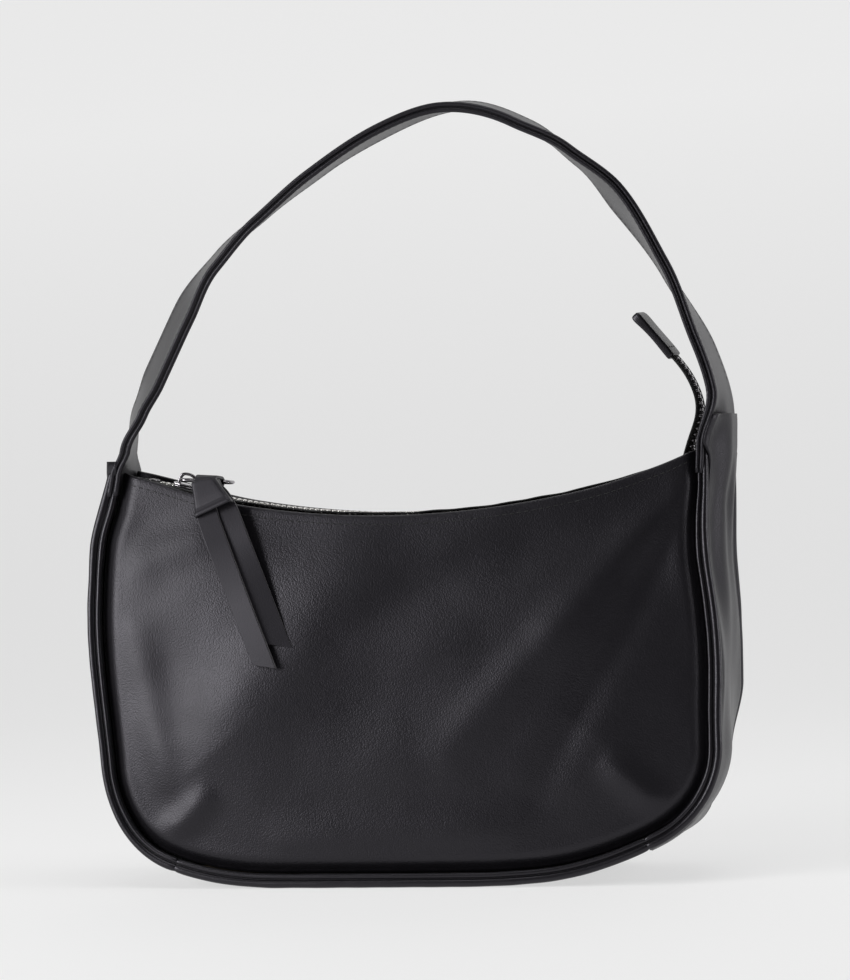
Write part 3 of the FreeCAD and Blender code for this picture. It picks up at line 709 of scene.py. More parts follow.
def panel_place(side, folds):
    """The function that lays the unit square on a face panel, side -1 front and +1 back."""
    s = SIZES
    inset = PANEL_EDGE
    top_reach = edge_end(inset)
    split = s.half_flat + s.rocker_radius * s.rocker_sweep + s.corner_radius * 0.55
    centre = Vector((0, 0, s.mouth_centre))
    left_top, right_top = edge_point(-top_reach, inset)[0], edge_point(top_reach, inset)[0]
    half_angle = math.asin(right_top.x / s.mouth_radius)
    seam = kdtree.KDTree(401)
    for index in range(401):
        seam.insert(edge_point(top_reach * (index / 200 - 1), inset)[0], index)
    seam.balance()
    corners = [edge_point(-split, inset)[0], edge_point(split, inset)[0], left_top, right_top]

    def outline(u, v):
        """Where (u, v) falls between the four sides of the panel's outline."""
        bottom = edge_point(split * (2 * u - 1), inset)[0]
        turn = half_angle * (2 * u - 1)
        top = centre + Vector((math.sin(turn), 0, -math.cos(turn))) * s.mouth_radius
        left = edge_point(-split - (top_reach - split) * v, inset)[0]
        right = edge_point(split + (top_reach - split) * v, inset)[0]
        blend = bottom * (1 - v) + top * v + left * (1 - u) + right * u
        flat = (corners[0] * (1 - u) + corners[1] * u) * (1 - v)
        return blend - flat - (corners[2] * (1 - u) + corners[3] * u) * v

    def place(u, v):
        at = outline(u, v)
        off = seam.find(at)[2]
        tuck = 4.6 * (1 - soften(0.0, 8.5, off)) ** 1.5
        pillow = 5.2 * soften(0.0, 75.0, off) * (1 - 0.6 * soften(0.62, 1.0, v))
        free = soften(3.0, 16.0, off)
        lumps = noise.noise(Vector((at.x / 52, at.z / 40, 3.0 * side))) * 0.9
        lumps += noise.noise(Vector((at.x / 15, at.z / 13, 9.0 * side))) * 0.10
        high = lumps + sum(fold(at.x, at.z, *ridge) for ridge in folds)
        depth = face_depth(at.x, at.z, 1.4) - tuck + pillow + high * free
        sag = 1.7 * soften(0.8, 1.0, v) * soften(0.04, 0.2, u) * soften(0.04, 0.2, 1 - u)
        return Vector((at.x, side * depth, at.z - sag))

    return place


def face_panel(side, folds, name, nodes):
    """Panel with its top edge turned over the facing."""
    place = panel_place(side, folds)
    columns, rows, turned = 170, 104, 12
    whole_rows = rows + turned

    def with_turned_edge(u, v):
        row = round(v * whole_rows)
        if row <= rows:
            return place(u, row / rows)
        top = place(u, 1.0)
        step = row - rows
        turn = math.pi * min(step, 4) / 4
        drop = max(step - 4, 0) * 3.1
        inner = 2.1 + 0.9 * soften(0.0, 12.0, drop)
        return top + Vector((0, -side * inner / 2 * (1 - math.cos(turn)),
                             0.9 * math.sin(turn) - drop))

    bm = mapped_grid(columns, whole_rows, with_turned_edge, 280.0, 190.0)
    face_out(bm, Vector((0, side, 0)))
    item = piece(bm, name, FINISH["leather"], "bag", nodes)
    thicken(item, PANEL_THICK * 0.6)
    return item


def mouth_stitches(side):
    """Top stitching below the turned edge of the mouth."""
    place = panel_place(side, FRONT_FOLDS if side < 0 else BACK_FOLDS)
    share = 1 - 3.2 / 160
    points = [place(0.02 + 0.96 * n / 120, share) for n in range(121)]
    normals = [Vector((0, side, 0.12)).normalized()] * 121
    return stitch_row(points, normals)


class BAG_OT_panels(bpy.types.Operator):
    """Front and back panels with their top stitching"""
    bl_idname = "bag.panels"
    bl_label = "Face panels"

    def execute(self, context):
        face_panel(-1, FRONT_FOLDS, "front_panel_leather", ["front_panel", "front_facing"])
        face_panel(1, BACK_FOLDS, "back_panel_leather", ["back_panel", "back_facing"])
        rows = joined([mouth_stitches(-1), mouth_stitches(1)])
        piece(rows, "mouth_stitching", FINISH["thread"], "bag")
        return {"FINISHED"}


# ---------------------------------------------------------------- rims and gussets

RIM_PROFILE = [
    # (inwards from the outline, back from the face), round both rolls of the edge
    (3.4, 3.9), (2.0, 4.4), (0.6, 3.8), (0.0, 2.4), (0.3, 1.2), (1.05, 0.5), (2.0, 0.3),
    (2.95, 0.5), (3.6, 1.15), (4.0, 2.1), (4.35, 1.3), (4.8, 0.85), (5.45, 0.7), (6.1, 0.9),
    (6.5, 1.4), (6.65, 2.2), (6.6, 3.4), (6.2, 5.2), (5.2, 6.0), (4.2, 5.0),
]

RIM_OVERLAP = 0.7      # two lengths of rim are pressed into each other by this much
# How far each gusset runs on past its zone, over the foot of the strap.
GUSSET_OVER = {"left": (4.0, 0.0), "base": (0.0, 0.0), "right": (0.0, 14.0)}
GUSSET_WIDE = 86.0


def rim_frames(side, start, end, count):
    """Frames along the outline: across points inwards, up points away from the face."""
    frames = []
    for index in range(count + 1):
        at, out = edge_point(start + (end - start) * index / count)
        depth = face_depth(at.x, at.z)
        frames.append((Vector((at.x, side * depth, at.z)), -out, Vector((0, -side, 0))))
    return frames


def rim(side, start, end, name, node_name):
    """A length of corded edge, pinched a little where it butts against the next."""
    count = int(abs(end - start) / 2.4)
    wobble = 7.0 if side < 0 else 19.0

    def profile(index):
        ends = min(index, count - index) / 1.5
        pinch = 0.90 + 0.10 * soften(0.0, 1.0, ends)
        swell = 1 + 0.05 * noise.noise(Vector((index * 0.21, wobble, start * 0.01)))
        return [(3.3 + (a - 3.3) * pinch * swell, 3.0 + (b - 3.0) * pinch * swell)
                for a, b in RIM_PROFILE]

    bm = swept(rim_frames(side, start, end, count), profile)
    item = piece(bm, name, FINISH["rolled"], "bag", [node_name])
    return subdivide(item)


def gusset_place(start, end, seed):
    """Lays the unit square on a gusset: u along the outline, v from front to back."""
    top = edge_end()

    def place(u, v):
        reach = start + (end - start) * u
        at, out = edge_point(reach)
        depth = face_depth(at.x, at.z) - 3.4
        across = 2 * v - 1
        rise = soften(150.0, 380.0, abs(reach))
        sag = 1.6 * (1 - across ** 2) * (0.4 + rise)
        near = soften(0.86, 1.0, abs(across))
        ripple = noise.noise(Vector((reach / 46, across * 1.7, seed))) * 1.5 * (1 - near)
        darts = math.sin(across * 9.0 + seed) * 0.9 * soften(230.0, 370.0, abs(reach)) * (1 - near)
        inward = 1.1 + sag + ripple + darts + 1.1 * near
        lap = soften(top - 30.0, top, abs(reach))
        inward += (0.1 - inward) * lap - 1.0 * soften(top - 4.0, top + 17.0, abs(reach))
        if at.z < 22:
            inward = max(inward * 0.6, 0.5)
        depth += (17.5 - depth) * soften(top - 9.0, top + 1.0, abs(reach))
        curl = 2.2 * soften(0.9, 1.0, abs(across)) * soften(top - 3.0, top, abs(reach))
        if reach < 0 and across < 0:        # the left front corner wraps the strap's foot
            curl = 5.5 * soften(0.7, 1.0, -across) * soften(top - 18.0, top, -reach)
        point = at - out * (inward + curl)
        return Vector((point.x, across * depth, point.z))

    return place


def gusset(start, end, seed, name, node_name):
    """One of the three lengths of the gusset."""
    columns = int(abs(end - start) / 2.6)
    bm = mapped_grid(columns, 40, gusset_place(start, end, seed), abs(end - start),
                     GUSSET_WIDE)
    middle = edge_point((start + end) / 2)[1]
    face_out(bm, middle)
    item = piece(bm, name, FINISH["leather"], "bag", [node_name])
    return thicken(item, 1.2)


def rim_cord(side, start, end):
    """Cord inside the outer roll of a rim."""
    frames = [(o + across * 2.1 + up * 2.3, across, up)
              for o, across, up in rim_frames(side, start, end, 120)]
    return swept(frames, round_profile(1.2, 8))


def rim_stitches(side, start, end):
    """Stitches in the groove between the two rolls of a rim."""
    count = 160
    frames = rim_frames(side, start, end, count)
    points = [o + across * 4.0 + up * 2.0 for o, across, up in frames]
    return stitch_row(points, [-up for _, _, up in frames], 0.26)


def inside_gusset(end, inset, short, finish, name, node_name):
    """A sheet that follows the base and sides from inside the gussets."""
    def place(u, v):
        at, _ = edge_point(end * (2 * u - 1), inset)
        return Vector((at.x, (2 * v - 1) * (face_depth(at.x, at.z) - short), at.z))

    bm = mapped_grid(int(end / 3), 16, place, 2 * end, 80.0)
    bmesh.ops.recalc_face_normals(bm, faces=bm.faces)
    face_out(bm, Vector((0, 0, -1)))
    return thicken(piece(bm, name, finish, "bag", [node_name]), 0.7)


def inside_face(side, folds, name, node_name):
    """The lining behind a face panel."""
    outer = panel_place(side, folds)

    def place(u, v):
        at = outer(0.02 + 0.96 * u, 0.02 + 0.86 * v)
        return Vector((at.x, at.y - side * 3.2, at.z))

    bm = mapped_grid(90, 56, place, 270.0, 160.0)
    face_out(bm, Vector((0, side, 0)))
    return thicken(piece(bm, name, FINISH["lining"], "bag", [node_name]), 0.6)


class BAG_OT_inside(bpy.types.Operator):
    """Linings and the base board"""
    bl_idname = "bag.inside"
    bl_label = "Lining and board"

    def execute(self, context):
        inside_face(-1, FRONT_FOLDS, "front_lining_cloth", "front_lining")
        inside_face(1, BACK_FOLDS, "back_lining_cloth", "back_lining")
        inside_gusset(edge_end() - 14, 6.8, 8.5, FINISH["lining"],
                      "gusset_lining_cloth", "gusset_lining")
        inside_gusset(104.0, 4.6, 8.0, FINISH["board"], "base_board_sheet", "base_board")
        return {"FINISHED"}


class BAG_OT_edges(bpy.types.Operator):
    """Corded rims, gussets and the stitching between the rolls"""
    bl_idname = "bag.edges"
    bl_label = "Rims and gussets"

    def execute(self, context):
        top, seam = edge_end(), reach_at_x(SIZES.seam_x)
        zones = {"left": (-top, -seam + 0.2), "base": (-seam - 0.2, seam + 0.2),
                 "right": (seam - 0.2, top)}
        for number, (zone, (start, end)) in enumerate(zones.items()):
            before, after = GUSSET_OVER[zone]
            gusset(start - before, end + after, 2.0 + 5 * number, zone + "_gusset_leather",
                   zone + "_gusset")
            for side, word in ((-1, "front"), (1, "back")):
                rim(side, start - (zone != "left") * RIM_OVERLAP,
                    end + (zone != "right") * RIM_OVERLAP,
                    "%s_rim_%s_leather" % (word, zone), "%s_rim_%s" % (word, zone))
        for side, word in ((-1, "front"), (1, "back")):
            piece(rim_cord(side, -top + 1, top - 1), word + "_cord_twist", FINISH["cord"], "bag",
                  [word + "_piping_cord"])
        rows = joined([rim_stitches(side, start, end) for side in (-1, 1)
                       for start, end in zones.values()])
        piece(rows, "rim_stitching", FINISH["thread"], "bag")
        return {"FINISHED"}


# ---------------------------------------------------------------- zip

def tape_half(side, name, nodes):
    """Half of the tape, from beside the chain out under the facing."""
    start, end = -18.4, 17.2
    count = 110

    def place(u, v):
        origin, _, up = zip_frame(start + (end - start) * u)
        reach = 1.6 + (face_depth(origin.x, origin.z, 5.5) - 1.6) * v
        wave = noise.noise(Vector((u * 22, v * 2, side * 4.0))) * 0.5 * v
        return Vector((origin.x, side * reach, origin.z)) + up * (wave + 0.5 * v * v)

    bm = mapped_grid(count, 10, place, 270.0, 17.0)
    face_out(bm, Vector((0, 0, 1)))
    item = piece(bm, name, FINISH["tape"], "bag", nodes)
    return thicken(item, 0.6)


def tooth_unit():
    """One cast tooth: a block with softened edges, set out to one side of the chain's line."""
    bm = bmesh.new()
    bmesh.ops.create_cube(bm, size=1.0)
    bmesh.ops.scale(bm, verts=bm.verts, vec=(1.25, 3.5, 2.3))
    bmesh.ops.translate(bm, verts=bm.verts, vec=(0, 1.35, 0))
    bmesh.ops.bevel(bm, geom=bm.edges[:], offset=0.28, segments=2, affect="EDGES",
                    profile=0.5, material=-1)
    return bm


def tooth_matrices(frames, side):
    """Where each tooth of one row goes."""
    found = []
    for origin, along, up in frames:
        across = Vector((0, side, 0))
        turn = Matrix((along * side, across, up)).transposed().to_4x4()
        found.append(Matrix.Translation(origin) @ turn)
    return found


def chain_frames(side):
    """Frames of one row of teeth; the back row sits half a pitch further on."""
    step = math.degrees(SIZES.tooth_pitch / SIZES.zip_radius)
    count = int((16.9 + 16.6) / step)
    return [zip_frame(-16.9 + (n + (side > 0) * 0.5) * step) for n in range(count)]


class BAG_OT_zip(bpy.types.Operator):
    """Tape, teeth and stops of the zip in the mouth"""
    bl_idname = "bag.zip"
    bl_label = "Zip"

    def execute(self, context):
        for side, word in ((-1, "front"), (1, "back")):
            tape_half(side, word + "_tape_weave", [word + "_zip_tape"])
            teeth = repeated(tooth_unit(), tooth_matrices(chain_frames(side), side))
            piece(teeth, word + "_teeth_row", FINISH["nickel"], "bag",
                  [word + "_zip_teeth"])
        clamps = []
        for side in (-1, 1):
            clamp = bmesh.new()
            bmesh.ops.create_cube(clamp, size=1.0)
            bmesh.ops.scale(clamp, verts=clamp.verts, vec=(3.4, 2.8, 2.6))
            bmesh.ops.translate(clamp, verts=clamp.verts, vec=(0, 1.9, 0))
            bmesh.ops.bevel(clamp, geom=clamp.edges[:], offset=0.4, segments=2, affect="EDGES",
                            profile=0.5, material=-1)
            matrix = tooth_matrices([zip_frame(-17.5)], side)[0]
            bmesh.ops.transform(clamp, matrix=matrix, verts=clamp.verts)
            clamps.append(clamp)
        piece(joined(clamps), "top_stop_pair", FINISH["gunmetal"], "bag",
              ["zip_top_stops"])
        return {"FINISHED"}


# ---------------------------------------------------------------- slider, ring and pull

def slider_matrix():
    """From the slider's own frame to the bag's."""
    origin, along, up = zip_frame(math.degrees(SIZES.slider_angle))
    turn = Matrix((along, Vector((0, 1, 0)), up)).transposed().to_4x4()
    return Matrix.Translation(origin) @ turn


def plate(low, thick, grow=0.0):
    """One of the slider's plates: wide at its nose, narrow at its tail, softly bevelled."""
    bm = bmesh.new()
    outline = [(-5.6, -1.6), (-4.4, -4.4), (-1.0, -5.0), (5.6, -4.1), (6.0, -3.2),
               (6.0, 3.2), (5.6, 4.1), (-1.0, 5.0), (-4.4, 4.4), (-5.6, 1.6)]
    ring = bmesh.ops.create_circle(bm, cap_ends=True, segments=len(outline), radius=1.0)["verts"]
    for vert, (x, y) in zip(ring, outline):
        vert.co = (x, y * (1 + grow), low)
    raised = bmesh.ops.extrude_face_region(bm, geom=bm.faces[:])
    moved = [v for v in raised["geom"] if isinstance(v, bmesh.types.BMVert)]
    bmesh.ops.translate(bm, verts=moved, vec=(0, 0, thick))
    bmesh.ops.bevel(bm, geom=bm.edges[:], offset=0.38, segments=3, affect="EDGES",
                    profile=0.5, material=-1)
    bmesh.ops.recalc_face_normals(bm, faces=bm.faces)
    return bm


def bar(corner, size, bevel=0.3):
    """A block with softened edges, from its low corner and its size."""
    bm = bmesh.new()
    bmesh.ops.create_cube(bm, size=1.0)
    bmesh.ops.scale(bm, verts=bm.verts, vec=size)
    middle = [c + s / 2 for c, s in zip(corner, size)]
    bmesh.ops.translate(bm, verts=bm.verts, vec=middle)
    bmesh.ops.bevel(bm, geom=bm.edges[:], offset=bevel, segments=2, affect="EDGES",
                    profile=0.5, material=-1)
    return bm


def crown():
    """The arched loop on top of the slider."""
    low, high = 2.2, 7.6
    route = [Vector(p) for p in ((-3.2, 0, low), (-3.2, 0, 4.6), (-2.9, 0, 6.6), (-1.2, 0, high),
                                 (2.4, 0, high), (4.4, 0, 6.4), (4.9, 0, 4.6), (5.0, 0, low))]
    points = spline(route, 28)
    along = directions(points)
    frames = [(p, Vector((0, 1, 0)), d.cross(Vector((0, 1, 0)))) for p, d in zip(points, along)]
    return swept(frames, rounded_bar(1.15, 0.7, 0.45))


RING_PIVOT = (1.7, 0.0, 5.0)     # in the slider's frame
RING_SLOPE = -5.0


def ring_matrix():
    """From the D-ring's own frame to the bag's."""
    pivot = slider_matrix() @ Vector(RING_PIVOT)
    return Matrix.Translation(pivot) @ Matrix.Rotation(math.radians(-RING_SLOPE), 4, "Y")


def ring_route():
    """Middle of the D-ring's wire: straight bar in front, curved back."""
    long, front, shoulder, back, corner = 24.0, -10.0, -3.0, 6.0, 2.4
    rise, half = back - shoulder, long / 2
    radius = (half * half + rise * rise) / (2 * rise)
    start = half - math.sqrt(radius ** 2 - (back - radius) ** 2)
    turn = math.asin(half / radius)
    points = [Vector((corner + (long - 2 * corner) * n / 12, front, 0)) for n in range(13)]
    for n in range(1, 5):
        at = math.pi / 2 * n / 4
        points.append(Vector((long - corner + corner * math.sin(at),
                              front + corner - corner * math.cos(at), 0)))
    for n in range(25):
        at = turn - 2 * turn * n / 24
        points.append(Vector((half + radius * math.sin(at),
                              back - radius + radius * math.cos(at), 0)))
    for n in range(5):
        at = math.pi / 2 * n / 4
        points.append(Vector((corner - corner * math.cos(at),
                              front + corner - corner * math.sin(at), 0)))
    return [p - Vector((start, 0, 0)) for p in points[:-1]]


def d_ring():
    """The D-ring's wire, in its own frame."""
    points = ring_route()
    count = len(points)
    frames = []
    for index, point in enumerate(points):
        along = (points[(index + 1) % count] - points[index - 1]).normalized()
        up = Vector((0, 0, 1))
        frames.append((point, along.cross(up), up))
    return swept(frames, round_profile(0.95, 12), closed_path=True)


class BAG_OT_slider(bpy.types.Operator):
    """Slider with its crown, and the D-ring that hangs in it"""
    bl_idname = "bag.slider"
    bl_label = "Slider and ring"

    def execute(self, context):
        matrix = slider_matrix()
        flanges = [bar((-3.6, y, z), (9.0, 0.9, 0.9), 0.25)
                   for y in (-4.75, 3.85) for z in (0.75, -1.65)]
        post = bar((-5.2, -0.45, -2.2), (1.8, 0.9, 4.4), 0.2)
        shapes = [plate(1.5, 1.2), plate(-2.7, 1.2), post] + flanges
        body = joined(shapes)
        bmesh.ops.transform(body, matrix=matrix, verts=body.verts)
        piece(body, "slider_casting", FINISH["gunmetal"], "slider", ["slider_body"])
        arch = crown()
        bmesh.ops.transform(arch, matrix=matrix, verts=arch.verts)
        piece(arch, "slider_crown", FINISH["gunmetal"], "slider", ["slider_bridge"])
        ring = d_ring()
        bmesh.ops.transform(ring, matrix=ring_matrix(), verts=ring.verts)
        item = piece(ring, "d_ring", FINISH["gunmetal"], "ring", ["pull_ring"])
        subdivide(item)
        return {"FINISHED"}


PULL_HALF = 5.2
PULL_THICK = 1.5
PULL_OFF = 8.8         # the tails hang this far off the front panel
PULL_SPREAD = 4.4      # sideways shift of each tail
PULL_CUT = 6.4         # drop of the slanted cut across a tail


def pull_axes():
    """Top of the hanging part, and its directions across, down and away from the panel."""
    x, z, lean, long = -79.0, 147.0, math.radians(22.0), 89.0
    touch = Vector((x, -face_depth(x, z, 2.5), z))
    step = 1.0
    slope_x = (face_depth(x + step, z, 2.5) - face_depth(x - step, z, 2.5)) / (2 * step)
    slope_z = (face_depth(x, z + step, 2.5) - face_depth(x, z - step, 2.5)) / (2 * step)
    away = Vector((-slope_x, -1.0, -slope_z)).normalized()
    up = Vector((-math.sin(lean), 0, math.cos(lean)))
    up = (up - away * up.dot(away)).normalized()
    across = up.cross(away).normalized()
    across = across if across.x > 0 else -across
    return touch + away * PULL_OFF + up * long / 2, across, -up, away


def strip(route, half, thick):
    """A flat leather strip along points of (place, across); its ends are cut straight."""
    points = [Vector(p) for p, _ in route]
    sides = [Vector(a) for _, a in route]
    count = 60
    smooth = spline(points, count)
    along = directions(smooth)
    frames = []
    for index, (point, way) in enumerate(zip(smooth, along)):
        share = index / count * (len(sides) - 1)
        low = min(int(share), len(sides) - 2)
        across = sides[low].lerp(sides[low + 1], share - low)
        across = (across - way * across.dot(way)).normalized()
        frames.append((point, across, across.cross(way)))
    return swept(frames, rounded_bar(half, thick / 2, 0.35, 2))


def slanted(bm, foot, down, across, drop):
    """Cut the lower end of a strip on a slant."""
    cutter = (down - across * (drop / (2 * PULL_HALF))).normalized()
    geometry = bm.verts[:] + bm.edges[:] + bm.faces[:]
    bmesh.ops.bisect_plane(bm, geom=geometry, plane_co=foot, plane_no=cutter, clear_outer=True)
    bmesh.ops.holes_fill(bm, edges=[e for e in bm.edges if e.is_boundary], sides=0)
    return bm


def pull_tail(shift, layer, foot, drop, tilt):
    """One half of the folded strip: round the ring's bar, over the mouth's edge, and down."""
    top, across, down, away = pull_axes()
    to_ring = ring_matrix()
    bar_way = (to_ring.to_3x3() @ Vector((1, 0, 0))).normalized()
    bar_at = to_ring @ Vector((15.2, -10.0, 0))
    forward, up = Vector((0, -1, 0)), Vector((0, 0, 1))
    reach = 1.9
    lift = layer * (PULL_THICK + 0.08)
    if layer:
        start = [bar_at - up * (reach + 0.2) + forward * 1.2,
                 bar_at - up * reach * 0.2 - forward * reach,
                 bar_at + up * reach * 1.05 - forward * 0.6,
                 bar_at + up * reach * 1.1 + forward * 1.6]
    else:
        start = [bar_at - up * (reach + 0.2) + forward * 0.4,
                 bar_at - up * (reach - 0.3) + forward * 4.0]
    edge = top + away * (lift + 0.2)
    bend = [edge - forward * 7.0 + up * (1.2 + lift * 0.7),
            edge - forward * 2.6 + up * (1.1 + lift)]
    route = [(p, bar_way) for p in start + bend]
    long = 104.0
    for share, amount in ((0.02, 0.0), (0.07, 0.55), (0.13, 1.0), (0.3, 1.0), (0.5, 1.0),
                          (0.75, 1.0), (1.0, 1.0)):
        hang = -1.2 * soften(0.15, 1.0, share) + (0.9 if layer else 0.1) * math.sin(share * 3.1)
        place = (top + across * (shift * amount) + down * (long * share) + away * (lift + hang))
        route.append((place, across + away * tilt * amount))
    bm = strip(route, PULL_HALF, PULL_THICK)
    foot_at = top + across * shift + down * foot
    return slanted(bm, foot_at, down, across, drop)


def keeper():
    """The band round the strip, flared into a rolled lip where the tails leave it."""
    top, across, down, away = pull_axes()
    level = (across + Vector((0.35, 0, -0.12))).normalized()
    levels = [(-0.6, 0.2, 0.1), (0.6, 0.5, 0.35), (3.0, 1.1, 0.3), (6.0, 2.1, 0.3),
              (8.6, 3.0, 0.45), (9.8, 3.5, 0.9), (10.6, 3.8, 1.3), (11.4, 3.9, 1.5),
              (11.9, 3.8, 1.2)]
    count = 32
    middle = top + away * 1.5

    def place(u, v):
        share = u * (len(levels) - 1)
        low = min(int(share), len(levels) - 2)
        deep, grow, swell = [a + (b - a) * (share - low)
                             for a, b in zip(levels[low], levels[low + 1])]
        profile = rounded_bar(PULL_HALF + 0.6 + grow, 2.1 + swell, 1.7, 6)
        a, b = profile[round(v * len(profile)) % len(profile)]
        way = level.lerp(across, soften(0.0, 0.5, u)).normalized()
        return middle + down * (deep * 1.25) + way * a + away * b

    bm = mapped_grid(count, 28, place)
    bmesh.ops.remove_doubles(bm, verts=bm.verts, dist=1e-4)
    bmesh.ops.recalc_face_normals(bm, faces=bm.faces)
    return bm


class BAG_OT_pull(bpy.types.Operator):
    """Leather pull: two tails of one strip, and its keeper"""
    bl_idname = "bag.pull"
    bl_label = "Leather pull"

    def is_cut(self, face):
        """True for the raw edges of the tails."""
        top, _, down, away = pull_axes()
        below = (face.calc_center_median() - top).dot(down) > 12.0
        return below and abs(face.normal.dot(away)) < 0.6

    def execute(self, context):
        tails = joined([pull_tail(-PULL_SPREAD, 1, 93.0, PULL_CUT, 0.10),
                        pull_tail(PULL_SPREAD + 0.9, 0, 86.5, PULL_CUT, -0.14)])
        bmesh.ops.recalc_face_normals(tails, faces=tails.faces)
        for face in tails.faces:
            face.material_index = int(face.calc_area() > 0.02 and self.is_cut(face))
        piece(tails, "pull_strip_leather", [FINISH["pull"], FINISH["cut"]], "pull",
              ["pull_strip"], crisp=18)
        band = piece(keeper(), "pull_keeper_leather", FINISH["pull"], "pull",
                     ["pull_keeper"])
        thicken(band, 1.1)
        subdivide(band)
        return {"FINISHED"}


# ---------------------------------------------------------------- free end of the zip

TAIL_ROUTE = [(128.3, 188.6), (132, 199), (135.5, 208), (136, 216), (133.5, 225.5), (129.5, 233),
              (124.5, 239)]


def tail_frames(count):
    """Frames up the zip's free end, turned a little towards the front."""
    points = spline([Vector((x, 0, z)) for x, z in TAIL_ROUTE], count)
    along = directions(points)
    frames = []
    for point, way in zip(points, along):
        turn = Matrix.Rotation(math.radians(-6.0), 3, way)
        frames.append((point, turn @ Vector((0, 1, 0)), turn @ Vector((way.z, 0, -way.x))))
    return frames


class BAG_OT_tail(bpy.types.Operator):
    """Free end of the zip with its folded leather cap"""
    bl_idname = "bag.tail"
    bl_label = "Zip end"

    def execute(self, context):
        frames = tail_frames(48)
        bend = ("bag", "zip_tail", (0.1283, 0, 0.1886), (0.1325, 0, 0.2000))
        tape = swept(frames, rounded_bar(5.9, 0.45, 0.3, 2))
        piece(tape, "tail_tape_weave", FINISH["tape"], None, ["zip_tail_tape"], bend)
        teeth = []
        chain = tail_frames(19)
        for side in (-1, 1):
            row = [(o, u.cross(a) * -1, u) for o, a, u in chain[(side > 0):-1]]
            if side > 0:
                row = [(o.lerp(p[0], 0.5), d, u) for (o, d, u), p in zip(row, chain)]
            teeth.append(repeated(tooth_unit(), tooth_matrices(row, side)))
        rows = joined(teeth)
        bmesh.ops.recalc_face_normals(rows, faces=rows.faces)
        piece(rows, "tail_teeth_rows", FINISH["gunmetal"], None, ["zip_tail_teeth"],
              bend)
        self.cap(frames[-1])
        return {"FINISHED"}

    def cap(self, frame):
        """Leather folded over the tape's end and sewn through."""
        origin, across, up = frame
        along = across.cross(up).normalized()
        along = along if along.z > 0 else -along
        levels = [(-1.6, 6.5, 1.5), (-1.0, 6.8, 1.9), (4.0, 6.8, 1.9), (12.0, 6.7, 1.7),
                  (19.0, 6.8, 2.0), (22.4, 6.8, 2.3), (24.4, 6.3, 2.0), (25.2, 5.2, 1.2)]
        rows = [(origin + along * (d + 0.3) + up * (0.5 * math.sin(d * 0.12)), across, up)
                for d, _, _ in levels]
        bm = swept(rows, lambda n: rounded_bar(levels[n][1], levels[n][2],
                                               min(levels[n][2], 1.1) * 0.95, 4))
        item = piece(bm, "tail_cap_leather", FINISH["rolled"], "zip_tail",
                     ["zip_tail_cap"])
        subdivide(item, 2)
        points = [origin + along * 3.2 + across * (y * 5.6 / 6) + up * 2.1 for y in range(-6, 7)]
        seam = stitch_row(points, [up] * 13)
        piece(seam, "tail_cap_stitching", FINISH["thread"], "zip_tail")


# ---------------------------------------------------------------- strap

STRAP_ROUTE = [
    # (x, z) of its middle line, from the left foot to the right one
    (-142.6, 184), (-143.4, 197), (-142, 210), (-136, 227), (-121, 254), (-107, 281), (-90, 300),
    (-66, 319), (-32, 342), (2, 357), (24, 362), (46, 357), (74, 341), (99, 318), (119, 287),
    (134, 255), (143, 233), (145.2, 215), (143.8, 200), (142.6, 184),
]
# How far the strap is turned about its own line: share of its length, then degrees.
STRAP_TWIST = [(0.0, 0), (0.02, 2), (0.045, 14), (0.085, 24), (0.12, 29), (0.19, 29), (0.25, 20),
               (0.31, 14), (0.38, 10), (0.46, 7), (0.53, 7), (0.60, 3), (0.66, -6), (0.72, -16),
               (0.80, -10), (0.88, 0), (1.0, 2)]


def twist_at(share):
    """Turn of the strap about its own line, in radians, at a share of its length."""
    for (a, low), (b, high) in zip(STRAP_TWIST, STRAP_TWIST[1:]):
        if share <= b:
            return math.radians(low + (high - low) * soften(a, b, share))
    return math.radians(STRAP_TWIST[-1][1])


def strap_frames(count=190):
    """Frames along the strap: across its width, and outwards from the arch."""
    points = spline([Vector((x, 0, z)) for x, z in STRAP_ROUTE], count)
    frames = []
    for index, (point, along) in enumerate(zip(points, directions(points))):
        out = Vector((-along.z, 0, along.x))
        turn = twist_at(index / count)
        across = Vector((0, math.cos(turn), 0)) + out * math.sin(turn)
        frames.append((point, across, out * math.cos(turn) - Vector((0, math.sin(turn), 0))))
    return frames


def strap_layer(low, high, half):
    """Profile of one leather of the strap, fuller at its folded edges."""
    middle, thick = (low + high) / 2, (high - low) / 2
    corner, steps = 5, 14
    ends = [(a, middle + b) for a, b in rounded_bar(half, thick, thick * 0.9, corner - 1)]
    flats = []
    for index in range(1, steps):
        a = (half - thick) * (1 - 2 * index / steps)
        flats.append((a, 0.35 * (1 - (a / half) ** 6)))
    upper = [(a, middle + thick - dip * (middle > 0)) for a, dip in flats]
    lower = [(-a, middle - thick + dip * (middle <= 0)) for a, dip in flats]
    return ends[:corner] + upper + ends[corner:3 * corner] + lower + ends[3 * corner:]


def narrowed(profile, count, half):
    """The strap's profile, narrower at its roots, for each of its frames."""
    def at(number):
        root = min(number, count - number) / count
        scale = (half - 2.4 * (1 - soften(0.02, 0.075, root))) / half
        return [(a * scale, b) for a, b in profile]

    return at


